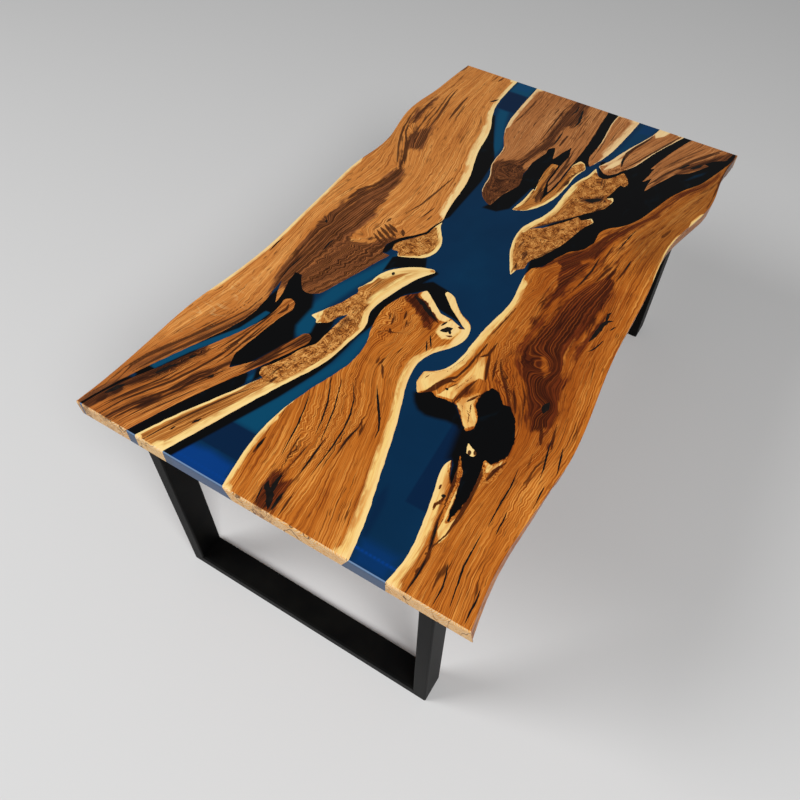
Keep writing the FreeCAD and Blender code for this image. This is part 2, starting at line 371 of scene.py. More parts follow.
def gridInside(loops, step):
    # staggered points inside the loops (odd count of crossings), none close to the loops themselves
    starts = np.vstack(loops)
    stops = np.vstack([np.roll(loop, -1, axis=0) for loop in loops])
    low, high = starts.min(0), starts.max(0)
    columns = np.arange(low[0], high[0], step)
    rowGap = step * filling["rowGap"]
    levels = np.arange(low[1] + rowGap / 2, high[1], rowGap)
    taken = set()
    for x, y in starts:
        row = round((y - levels[0]) / rowGap)
        for near in (row - 1, row, row + 1):
            shift = step / 2 if near % 2 else 0
            column = round((x - shift - columns[0]) / step)
            if abs(levels[0] + near * rowGap - y) < step * filling["clear"]:
                taken.add((near, column))
    found = []
    for row, level in enumerate(levels):
        crossed = (starts[:, 1] > level) != (stops[:, 1] > level)
        p, q = starts[crossed], stops[crossed]
        cuts = np.sort(p[:, 0] + (level - p[:, 1]) * (q[:, 0] - p[:, 0]) / (q[:, 1] - p[:, 1]))
        shifted = columns + (step / 2 if row % 2 else 0)
        within = np.searchsorted(cuts, shifted) % 2 == 1
        found += [(shifted[k], level) for k in np.flatnonzero(within) if (row, k) not in taken]
    return np.array(found).reshape(-1, 2)


# cracks: drawn widths are enlarged a little and kept above the least, in millimetres
crack = {"enlarge": 1.35, "least": 3.4, "fewest": 6, "spacing": 0.006, "ends": 0.02, "fullness": 0.7,
         "ragged": 0.6, "scale": 130, "layers": (1.3, 8.3)}


def taper(drawn, width):
    # a crack drawn as one line becomes a sliver that is widest in the middle and ragged at its sides
    line = onSheet(drawn)
    steps = lengthsAlong(line)
    t = np.linspace(0, 1, max(crack["fewest"], int(steps[-1] / crack["spacing"])))
    middle = np.stack([np.interp(t * steps[-1], steps, line[:, k]) for k in (0, 1)], 1)
    along = np.gradient(middle, axis=0)
    across = np.stack([-along[:, 1], along[:, 0]], 1) / np.linalg.norm(along, axis=1)[:, None]
    half = np.sin(np.pi * np.clip(t, crack["ends"], 1 - crack["ends"])) ** crack["fullness"]
    half = half * max(width * crack["enlarge"], crack["least"]) * millimetre / 2
    sides = []
    for sign, layer in zip((1, -1), crack["layers"]):
        places = [Vector((x * crack["scale"], y * crack["scale"], layer)) for x, y in middle]
        ragged = 1 + crack["ragged"] * np.array([noise.noise(place) for place in places])
        sides.append(middle + sign * across * (half * ragged)[:, None])
    left, right = sides
    return np.vstack([middle[:1], left[1:-1], middle[-1:], right[1:-1][::-1]])


def triangulated(points, edges):
    # triangles between the points that keep to the edges, and the given points that each corner comes from
    points = [Vector(point) for point in points]
    filled = geometry.delaunay_2d_cdt(points, edges, [], 1, filling["precision"], True)
    return np.array([v[:] for v in filled[0]]), filled[2], filled[3]


def sheetOfTriangles(rimPoints, slivers, step):
    # fills an outline with even triangles; slivers are kept as edges of the filling
    inner = gridInside([rimPoints], step)
    coords = [rimPoints] + slivers
    edges = []
    start = 0
    for loop in coords:
        edges += [(start + k, start + (k + 1) % len(loop)) for k in range(len(loop))]
        start += len(loop)
    if slivers:
        near = np.min([distanceTo(inner, s, closed=True) for s in slivers], axis=0)
        inside = np.any([insideOf(inner, s) for s in slivers], axis=0)
        inner = inner[(near > filling["sliverClear"]) & ~inside]
    verts, faces, origins = triangulated(np.vstack(coords + [inner]), edges)
    within = insideOf(np.array([verts[list(face)].mean(0) for face in faces]), rimPoints)
    return verts, [face for face, keep in zip(faces, within) if keep], origins


smoothAngles = {"board": math.radians(40), "bolt": math.radians(35)}


def buildPiece(name, verts, faces, materialIndex, materials):
    mesh = bpy.data.meshes.new(name)
    mesh.from_pydata([tuple(v) for v in verts], [], faces)
    mesh.polygons.foreach_set("material_index", materialIndex)
    piece = bpy.data.objects.new(name, mesh)
    bpy.context.scene.collection.objects.link(piece)
    for material in materials:
        mesh.materials.append(material)
    mesh.validate()
    choose(piece)
    bpy.ops.object.shade_smooth_by_angle(angle=smoothAngles["board"])
    return piece


def store(piece, name, vectors):
    layer = piece.data.attributes.new(name, "FLOAT_VECTOR", "POINT")
    layer.data.foreach_set("vector", np.ascontiguousarray(vectors, np.float32).ravel())


insertHole = {"radius": 0.006, "depth": 0.020, "sides": 24, "inside": 0.99, "apart": 0.05}


def centresOf(nodeName):
    # centres of the bolts or inserts, which stand apart from each other along Y
    co = np.array([v.co[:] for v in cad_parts[nodeName].data.vertices])
    centres = []
    for end in (-1, 1):
        part = co[np.sign(co[:, 0]) == end]
        part = part[np.argsort(part[:, 1])]
        breaks = np.flatnonzero(np.diff(part[:, 1]) > insertHole["apart"]) + 1
        for group in np.split(part, breaks):
            centres.append((group[:, :2].min(0) + group[:, :2].max(0)) / 2)
    return centres


def closedBoard(rim, slivers, step):
    # vertices, faces and material numbers of one board: sanded face, sides, underside with its insert holes
    rows = wallRows(rim)
    count = len(rim["points"])
    full = rim["outer"] | rim["atEnd"]
    verts, index = [], {}
    for r, row in enumerate(rows):
        for k in range(count):
            if full[k] or r in (0, lastRow):
                index[r, k] = len(verts)
                verts.append(row[k])
    faces, kinds = [], []
    for k in range(count):
        j = (k + 1) % count
        if full[k] and full[j]:
            for r in range(lastRow):
                faces.append((index[r, j], index[r, k], index[r + 1, k], index[r + 1, j]))
        else:
            down = [index[r, k] for r in range(1, lastRow)] if full[k] else []
            up = [index[r, j] for r in range(lastRow - 1, 0, -1)] if full[j] else []
            faces.append((index[0, j], index[0, k], *down, index[lastRow, k], index[lastRow, j], *up))
    kinds += [0] * len(faces)

    def placed(flat, origins, row, level):
        # the board's numbers for a sheet's points, and for the points of its inner loops
        place, loops = {}, {}
        for v, (point, origin) in enumerate(zip(flat, origins)):
            known = [o for o in origin if o < count]
            if known:
                place[v] = index[row, known[0]]
                continue
            place[v] = len(verts)
            verts.append(np.array([point[0], point[1], level]))
            loops.update({o - count: place[v] for o in origin})
        return place, loops

    flat, triangles, origins = sheetOfTriangles(rows[0][:, :2], slivers, step)
    place, _ = placed(flat, origins, 0, tabletop["top"])
    faces += [tuple(place[v] for v in face) for face in triangles]
    middles = np.array([flat[list(face)].mean(0) for face in triangles])
    filled = np.zeros(len(triangles), bool)
    for sliver in slivers:
        filled |= insideOf(middles, sliver)
    kinds += filled.astype(int).tolist()
    lowRim = rows[lastRow][:, :2]
    around = np.linspace(0, 2 * np.pi, insertHole["sides"], endpoint=False)
    ring = np.stack([np.cos(around), np.sin(around)], 1) * insertHole["radius"]
    holes = [c + ring for c in centresOf("leg_inserts") if insideOf(np.array([c]), lowRim)[0]]
    flat, triangles, origins = sheetOfTriangles(lowRim, holes, tabletop["underStep"])
    place, ringIndex = placed(flat, origins, lastRow, tabletop["under"])
    within = insertHole["radius"] * insertHole["inside"]
    for face in triangles:
        middle = flat[list(face)].mean(0)
        if not any(np.linalg.norm(middle - hole.mean(0)) < within for hole in holes):
            faces.append(tuple(place[v] for v in reversed(face)))
            kinds.append(0)
    for number, hole in enumerate(holes):
        first = number * insertHole["sides"]
        low = [ringIndex[first + k] for k in range(insertHole["sides"])]
        high = []
        for point in hole:
            high.append(len(verts))
            verts.append(np.array([point[0], point[1], tabletop["under"] + insertHole["depth"]]))
        for k in range(insertHole["sides"]):
            j = (k + 1) % insertHole["sides"]
            faces.append((low[k], high[k], high[j], low[j]))
        faces.append(tuple(reversed(high)))
        kinds += [0] * (insertHole["sides"] + 1)
    return np.array(verts), faces, kinds


grainGuides = {"reach": 0.9, "count": 361, "smoothing": 17, "leastGap": 0.004}


def guideHeights(guides, x):
    # the grain guides at each x, smoothed so that the grain has no kinks
    fine = np.linspace(-grainGuides["reach"], grainGuides["reach"], grainGuides["count"])
    kernel = np.hanning(grainGuides["smoothing"])[1:-1]
    heights = []
    for guide in guides:
        line = onSheet(guide)
        y = np.pad(np.interp(fine, line[:, 0], line[:, 1]), len(kernel) // 2, mode="edge")
        heights.append(np.interp(x, fine, np.convolve(y, kernel / kernel.sum(), mode="valid")))
    return heights


def fromKnot(xy, x, y, radius):
    return np.linalg.norm(xy - onSheet([(x, y)]), axis=1) / (radius * millimetre)


def acrossGrain(xy, drawing):
    # the coordinate across the grain: even between the guides, looped round the knots
    heights = guideHeights(drawing["flow"], xy[:, 0])
    levels = [h.mean() for h in heights]
    v = np.zeros(len(xy))
    for k in range(len(heights) - 1):
        room = np.maximum(heights[k + 1] - heights[k], grainGuides["leastGap"])
        part = levels[k] + (xy[:, 1] - heights[k]) / room * (levels[k + 1] - levels[k])
        v = part if k == 0 else np.where(xy[:, 1] > heights[k], part, v)
    for x, y, radius, pull, _ in drawing.get("knots", []):
        away = fromKnot(xy, x, y, radius)
        v += pull * radius * millimetre * np.exp(-away * away / 2)
    return v


# how the drawn figure is laid on: lengths in metres, only sapEnd is on the sheet
laying = {"rimReach": 0.014, "sapSoft": 2, "sapLeast": 1e-4, "sapEnd": 840, "fadeMost": 0.03,
          "fadeShare": 0.0004, "fadeStart": -0.002, "brownFrom": 0.003, "brownTo": 0.016, "brown": 0.8,
          "darkSoft": 1.9, "lightSoft": 1.2, "barkCore": 1.3, "endGap": 2e-4, "wavy": 0.16, "checks": 0.7}


def onSawnEnd(verts):
    return abs(verts[:, 0]) > tabletop["end"] - tabletop["ease"] + laying["endGap"]


def nearRim(rim, line):
    return rim["points"][distanceTo(rim["points"], onSheet(line)) < laying["rimReach"]]


def sapThinning(edge, line, sapEnds):
    # a band of sapwood that no other band carries on from thins out at its end
    thin = np.ones(len(edge))
    fade = min(laying["fadeMost"], laying["fadeShare"] * math.dist(line[0], line[-1]))
    for end, beside in ((line[0], line[1]), (line[-1], line[-2])):
        if sapEnds.count(end) == 1 and abs(end[0]) < laying["sapEnd"]:
            start, run = onSheet([end])[0], np.subtract(beside, end) / math.dist(end, beside)
            thin = np.minimum(thin, smoothStep(laying["fadeStart"], fade, (edge - start) @ run))
    return thin


def figureOf(verts, drawing, rim):
    # grain coordinates and the drawn sapwood, dark heart, burl, streaks and ripple of one board
    xy = verts[:, :2]
    depth = tabletop["top"] - verts[:, 2]
    grain = np.stack([xy[:, 0], acrossGrain(xy, drawing), depth], 1)
    tone, mark, wave = np.zeros((3, len(verts), 3))
    sap, dark, burl = tone.T
    streak, fleck, ended = mark.T
    curl, checks, ruddyAndSheen = wave.T

    def raiseTo(values, amount):
        np.maximum(values, amount, out=values)

    sapEnds = [line[k] for line, _ in drawing.get("sap", []) for k in (0, -1)]
    for line, width in drawing.get("sap", []):
        edge = nearRim(rim, line)
        if len(edge):
            thin = sapThinning(edge, line, sapEnds)
            tree = nearestTree(edge)
            found = [tree.find((x, y, 0)) for x, y in xy]
            away, nearest = np.array([f[2] for f in found]), [f[1] for f in found]
            reach = laying["sapSoft"] * millimetre * width * thin[nearest] + laying["sapLeast"]
            raiseTo(sap, np.clip(1 - away / reach, 0, 1))
    for patch, soft, strength in drawing.get("sapPatches", []):
        raiseTo(sap, strength * softPatch(xy, patch, soft))
    sap *= 1 - laying["brown"] * smoothStep(laying["brownFrom"], laying["brownTo"], depth)   # browner below
    for patch, soft, strength in drawing.get("dark", []):
        value = strength * softPatch(xy, patch, soft * laying["darkSoft" if strength > 0 else "lightSoft"])
        dark[:] = np.maximum(dark, value) if strength > 0 else np.clip(dark + value, 0, 1)
    for x, y, radius, _, shade in drawing.get("knots", []):
        raiseTo(dark, shade * np.exp(-fromKnot(xy, x, y, radius) ** 2))
    for patch, soft in drawing.get("burl", []):
        raiseTo(burl, softPatch(xy, patch, soft))
    for line, width, strength in drawing.get("streaks", []):
        raiseTo(streak, strength * strokeOf(xy, onSheet(line), millimetre * width))
    for line, width, strength in drawing.get("bark", []):
        tree = nearestTree(nearRim(rim, line))
        away = np.array([tree.find((x, y, 0))[2] for x, y in xy])
        raiseTo(streak, strength * np.clip(laying["barkCore"] - away / (millimetre * width), 0, 1))
    for patch, soft in drawing.get("ripple", []):
        raiseTo(fleck, softPatch(xy, patch, soft))
    ended[:] = onSawnEnd(verts)
    curl[:] = drawing.get("wavy", laying["wavy"])
    for patch, soft, strength in drawing.get("curl", []):
        raiseTo(curl, strength * softPatch(xy, patch, soft))
    checks[:] = drawing.get("checks", laying["checks"])
    # ruddy tone; below 0 it is painted sheen that greys the wood
    for patch, soft, strength in drawing.get("ruddyAndSheen", []):
        ruddyAndSheen += strength * softPatch(xy, patch, soft)
    return {"grain": grain, "tone": tone, "mark": mark, "wave": wave}


# Drawings of the boards' figure, in millimetres. flow: guides of the grain, from front to back. sap: line
# on the rim and width. sapPatches, dark, curl and ruddy: patch, softness and strength, below 0 for paler
# or greyer; the ruddy patches are the wood's own tone, and a greyer one below 0 is painted sheen at the far
# end. burl and ripple: patch and softness. streaks and bark: line, width and strength. knots: place,
# radius, pull on the grain and shade. cracks: line and width. step: spacing of points in metres. wavy and
# checks: how much the grain curls everywhere, and how many hairline checks there are.
backSlab = {
    "node": "back_slab", "finish": "tan",
    "flow": [
        [(-850, 503), (-600, 410), (-420, 348), (-300, 262), (-150, 198), (0, 150), (125, 126), (230, 142),
         (340, 156), (460, 192), (560, 206), (640, 241), (745, 258), (850, 257)],
        [(-850, 511), (-600, 424), (-420, 358), (-300, 330), (-150, 290), (0, 262), (150, 246), (300, 262),
         (450, 292), (600, 318), (850, 330)],
        [(-850, 518), (-700, 490), (-600, 452), (-500, 402), (-420, 374), (-300, 386), (-200, 397),
         (-50, 413), (60, 398), (125, 378), (200, 356), (250, 350), (300, 374), (350, 400), (400, 424),
         (450, 440), (560, 452), (700, 432), (850, 415)],
        [(-850, 532), (-690, 512), (-560, 510), (-480, 507), (-400, 496), (-260, 476), (-120, 472),
         (60, 472), (250, 467), (345, 452), (430, 465), (550, 478), (650, 463), (770, 453), (850, 443)]],
    "sap": [
        ([(-430, 497), (-340, 485), (-260, 473), (-120, 470), (60, 470), (250, 465)], 10),
        ([(125, 126), (160, 134), (230, 142)], 20), ([(230, 142), (340, 156), (400, 172)], 22),
        ([(400, 172), (460, 192), (560, 206)], 25), ([(560, 206), (640, 241)], 18),
        ([(640, 241), (745, 258), (850, 257)], 13)],
    "dark": [
        ([(-360, 356), (-320, 372), (-280, 385), (-230, 393), (-150, 398), (-90, 405), (-60, 414),
          (-30, 410), (0, 402), (60, 398), (110, 396), (130, 380), (150, 364), (200, 357), (255, 352),
          (262, 335), (240, 318), (200, 311), (150, 314), (110, 303), (50, 299), (0, 300), (-60, 303),
          (-76, 295), (-72, 265), (-55, 248), (-30, 232), (-8, 205), (10, 168), (-30, 150), (-60, 160),
          (-150, 192), (-250, 232), (-305, 262), (-310, 345)], 8, 1),
        ([(-850, 526), (-800, 512), (-760, 492), (-700, 462), (-620, 438), (-690, 446),
          (-850, 500)], 8, 0.95),
        ([(-770, 492), (-700, 494), (-660, 478), (-590, 446), (-520, 412), (-450, 376), (-380, 366),
          (-380, 345), (-440, 345), (-520, 376), (-600, 412), (-680, 446)], 13, 0.72),
        ([(240, 318), (262, 334), (300, 358), (345, 378), (360, 392), (330, 388), (290, 372),
          (245, 352)], 6, 0.85),
        ([(345, 378), (380, 402), (420, 426), (470, 446), (540, 456), (600, 452), (642, 442), (642, 426),
          (580, 421), (520, 416), (470, 409), (446, 396), (470, 386), (500, 376), (440, 352), (385, 336),
          (352, 345)], 9, 0.74),
        ([(425, 405), (445, 416), (470, 424), (462, 430), (430, 420)], 5, -0.7),
        ([(255, 348), (275, 362), (300, 376), (284, 374), (258, 360)], 4, -0.5),
        ([(-250, 368), (-200, 374), (-120, 368), (-60, 357), (-100, 352), (-200, 358)], 7, -0.3)],
    "streaks": [
        ([(-775, 487), (-705, 490), (-670, 480), (-600, 450), (-540, 421), (-480, 394), (-420, 370),
          (-370, 364)], 5, 0.9),
        ([(-720, 476), (-640, 448), (-570, 414), (-500, 383), (-440, 360), (-390, 352)], 5, 0.95),
        ([(-690, 466), (-620, 436), (-550, 401), (-480, 368), (-420, 354)], 3, 0.9),
        ([(-840, 521), (-780, 503), (-720, 500), (-660, 484), (-560, 434), (-480, 404),
          (-400, 384)], 3, 0.8),
        ([(-640, 474), (-560, 443), (-480, 413), (-410, 396)], 2.5, 0.6),
        ([(-340, 357), (-290, 369), (-250, 373), (-180, 369), (-110, 367)], 4, 1),
        ([(110, 398), (128, 384), (150, 366), (205, 355)], 6, 1),
        ([(60, 397), (110, 392), (126, 378)], 5, 0.9),
        ([(250, 354), (300, 378), (345, 404), (390, 424), (440, 442), (500, 454), (560, 459)], 4, 0.95),
        ([(245, 342), (300, 360), (340, 377), (380, 397), (420, 424), (470, 440)], 5, 1),
        ([(270, 340), (320, 362), (360, 382), (400, 396)], 4, 0.9),
        ([(360, 350), (420, 358), (480, 372)], 6, 0.9),
        ([(480, 376), (540, 379), (600, 389), (650, 398), (705, 402)], 5, 1),
        ([(470, 392), (560, 396), (650, 408), (690, 410)], 4, 0.7),
        ([(440, 428), (520, 436), (600, 440), (640, 436)], 4, 0.9),
        ([(400, 388), (450, 400), (520, 408), (600, 412)], 4, 0.7),
        ([(560, 424), (640, 430), (720, 424), (850, 426)], 3, 0.5),
        ([(540, 343), (600, 349), (650, 353), (690, 352)], 5, 0.95), ([(800, 330), (850, 325)], 4, 0.7),
        ([(812, 312), (850, 304)], 4, 0.7), ([(800, 446), (850, 440)], 7, 0.7),
        ([(95, 228), (150, 211), (220, 201), (305, 192)], 4, 0.9), ([(40, 252), (60, 250)], 5, 0.7),
        ([(-28, 208), (-16, 234), (-2, 258)], 6, 1), ([(-14, 204), (0, 231), (12, 256)], 6, 1),
        ([(1, 200), (14, 226), (28, 252)], 6, 1), ([(18, 206), (35, 242)], 6, 1),
        ([(-40, 214), (-32, 234), (-18, 258)], 5, 1), ([(14, 184), (36, 200)], 6, 0.9),
        ([(-30, 242), (-48, 262)], 9, 0.7), ([(60, 240), (100, 232), (150, 234)], 3, 0.5),
        ([(70, 215), (110, 206)], 3, 0.5)],
    "knots": [
        (-45, 396, 14, 1.3, 0.95), (432, 412, 14, 1.0, 0), (-42, 270, 18, 1.2, 0), (268, 362, 10, 0.9, 0)],
    "ruddyAndSheen": [
        ([(-870, 490), (-870, 560), (-680, 520), (-560, 470), (-420, 400), (-420, 340),
          (-600, 400)], 40, 0.7)],
    "ripple": [([(-570, 500), (-330, 470), (-325, 400), (-420, 386), (-500, 415), (-570, 455)], 22)],
    "curl": [
        ([(-300, 260), (-280, 330), (-150, 340), (-60, 330), (-40, 200), (-150, 195)], 22, 1),
        ([(-40, 190), (60, 190), (60, 265), (-40, 265)], 14, 1),
        ([(250, 230), (600, 300), (600, 340), (250, 300)], 30, 0.35)],
    "cracks": [
        ([(-225, 453), (-190, 456), (-160, 453)], 3), ([(-150, 336), (-120, 338), (-92, 336)], 4),
        ([(697, 281), (710, 271), (726, 262)], 6), ([(100, 183), (135, 176), (165, 171)], 2),
        ([(100, 164), (130, 161)], 2), ([(-300, 366), (-250, 372), (-180, 368)], 2.5),
        ([(-52, 390), (-40, 398)], 6)],
}
nearBackSlab = {
    "node": "near_back_slab", "finish": "striped", "step": 0.0019,
    "flow": [
        [(-850, 372), (-700, 311), (-600, 262), (-500, 211), (-432, 180), (-330, 130)],
        [(-850, 430), (-800, 410), (-750, 380), (-700, 355), (-640, 335), (-560, 290), (-450, 250),
         (-330, 220)],
        [(-850, 508), (-760, 479), (-690, 440), (-600, 397), (-500, 346), (-430, 318), (-345, 310),
         (-330, 300)]],
    "dark": [
        ([(-850, 520), (-800, 506), (-770, 490), (-740, 468), (-700, 452), (-650, 432), (-600, 402),
          (-560, 378), (-590, 364), (-620, 380), (-660, 394), (-690, 408), (-730, 430), (-760, 454),
          (-800, 468), (-850, 488)], 7, 0.95),
        ([(-850, 448), (-800, 428), (-760, 404), (-720, 378), (-680, 360), (-640, 346), (-600, 326),
          (-556, 306), (-575, 288), (-620, 306), (-650, 330), (-700, 344), (-750, 366), (-800, 400),
          (-850, 422)], 7, 0.8),
        ([(-570, 266), (-500, 246), (-440, 222), (-405, 206), (-405, 178), (-440, 184), (-500, 214),
          (-580, 252)], 7, 0.66)],
    "streaks": [
        ([(-850, 438), (-800, 418), (-755, 392), (-715, 368), (-660, 350), (-610, 322)], 4, 1),
        ([(-850, 424), (-800, 403), (-750, 373), (-700, 348), (-650, 334), (-600, 305)], 4, 1),
        ([(-850, 408), (-780, 380), (-720, 350), (-660, 322), (-600, 290)], 3, 0.7),
        ([(-850, 472), (-800, 452), (-740, 420), (-690, 390), (-640, 372), (-590, 355)], 3, 0.7),
        ([(-825, 484), (-800, 476)], 7, 1), ([(-790, 470), (-765, 460)], 7, 1),
        ([(-848, 455), (-790, 436), (-740, 408), (-690, 378), (-640, 358), (-580, 336), (-520, 322)], 4, 1),
        ([(-848, 496), (-790, 480), (-740, 455), (-690, 430), (-630, 407), (-570, 380)], 5, 1),
        ([(-848, 510), (-800, 496), (-750, 474), (-690, 446), (-620, 418)], 4, 1),
        ([(-820, 466), (-760, 436), (-700, 404), (-650, 386)], 3, 0.9),
        ([(-700, 424), (-650, 402), (-600, 384)], 4, 1),
        ([(-790, 394), (-730, 362), (-680, 340), (-630, 312), (-590, 288)], 3, 1),
        ([(-848, 394), (-790, 370), (-720, 336), (-650, 300)], 2.5, 0.7),
        ([(-560, 340), (-500, 326), (-430, 314), (-370, 306)], 3, 0.9),
        ([(-540, 318), (-480, 304), (-420, 296)], 2.5, 0.8), ([(-570, 262), (-500, 240), (-420, 210)], 3, 1),
        ([(-575, 254), (-500, 228), (-420, 198)], 3, 1), ([(-590, 262), (-520, 228), (-440, 190)], 3, 1),
        ([(-620, 332), (-560, 318), (-480, 310), (-400, 303)], 3, 0.8),
        ([(-600, 345), (-540, 330), (-460, 318), (-400, 312)], 3, 0.8),
        ([(-560, 352), (-500, 335), (-440, 322)], 3, 0.7), ([(-780, 350), (-700, 318), (-640, 290)], 3, 0.4),
        ([(-395, 300), (-370, 290), (-350, 296)], 5, 0.8)],
    "knots": [(-632, 313, 13, 1.1, 0.5), (-690, 405, 12, 0.7, 0.3), (-590, 375, 10, 0.7, 0.6)],
    "curl": [([(-740, 460), (-690, 440), (-600, 395), (-570, 370), (-640, 375), (-700, 400)], 10, 1)],
    "cracks": [
        ([(-800, 486), (-775, 474), (-752, 462)], 8), ([(-700, 430), (-660, 412), (-640, 398)], 6),
        ([(-618, 392), (-600, 382)], 7), ([(-640, 316), (-624, 308)], 5)],
}
burlLimb = {
    "node": "burl_limb", "finish": "burl", "step": 0.0023, "checks": 0.4,
    "flow": [
        [(-850, 268), (-700, 209), (-550, 149), (-450, 110), (-360, 97), (-305, 95), (-270, 108),
         (-215, 103), (-160, 89), (-105, 68), (-61, 40), (-40, 20)],
        [(-850, 348), (-750, 303), (-600, 222), (-500, 200), (-400, 170), (-300, 190), (-213, 175),
         (-120, 149), (-53, 60), (-40, 45)]],
    "sap": [
        ([(-850, 268), (-700, 209), (-600, 169)], 20), ([(-600, 169), (-550, 149), (-450, 110)], 12),
        ([(-450, 110), (-360, 97), (-300, 95)], 9), ([(-300, 95), (-270, 108), (-215, 103)], 16),
        ([(-215, 103), (-160, 89), (-105, 68), (-61, 40)], 30), ([(-850, 348), (-750, 303), (-600, 222)], 6),
        ([(-120, 149), (-85, 113), (-53, 48)], 22), ([(-200, 178), (-120, 149)], 6),
        ([(-369, 203), (-357, 207), (-353, 227), (-320, 210)], 16)],
    "burl": [
        ([(-600, 205), (-560, 234), (-500, 207), (-420, 167), (-350, 172), (-338, 212), (-275, 190),
          (-215, 172), (-200, 138), (-260, 122), (-300, 110), (-360, 104), (-450, 120), (-560, 164)], 9)],
    "dark": [
        ([(-230, 150), (-200, 148), (-150, 140), (-110, 126), (-150, 126), (-210, 136)], 7, 0.35),
        ([(-420, 158), (-380, 150), (-330, 152), (-300, 148), (-300, 138), (-350, 140),
          (-420, 148)], 7, 0.6)],
    "streaks": [
        ([(-850, 325), (-800, 307), (-740, 281), (-650, 236), (-606, 206)], 3, 0.95),
        ([(-850, 318), (-780, 290), (-700, 254), (-640, 226)], 2.5, 0.5),
        ([(-830, 300), (-740, 262)], 2.5, 0.4), ([(-570, 200), (-540, 196), (-500, 186)], 4, 0.7),
        ([(-575, 186), (-552, 182)], 4, 0.8), ([(-330, 170), (-312, 160)], 5, 0.7)],
    "knots": [(-122, 131, 5, 0.5, 0.9), (-565, 205, 11, 0.9, 0.3)],
    "cracks": [
        ([(-760, 263), (-735, 251)], 4), ([(-798, 292), (-782, 286)], 3), ([(-128, 131), (-115, 133)], 7)],
}
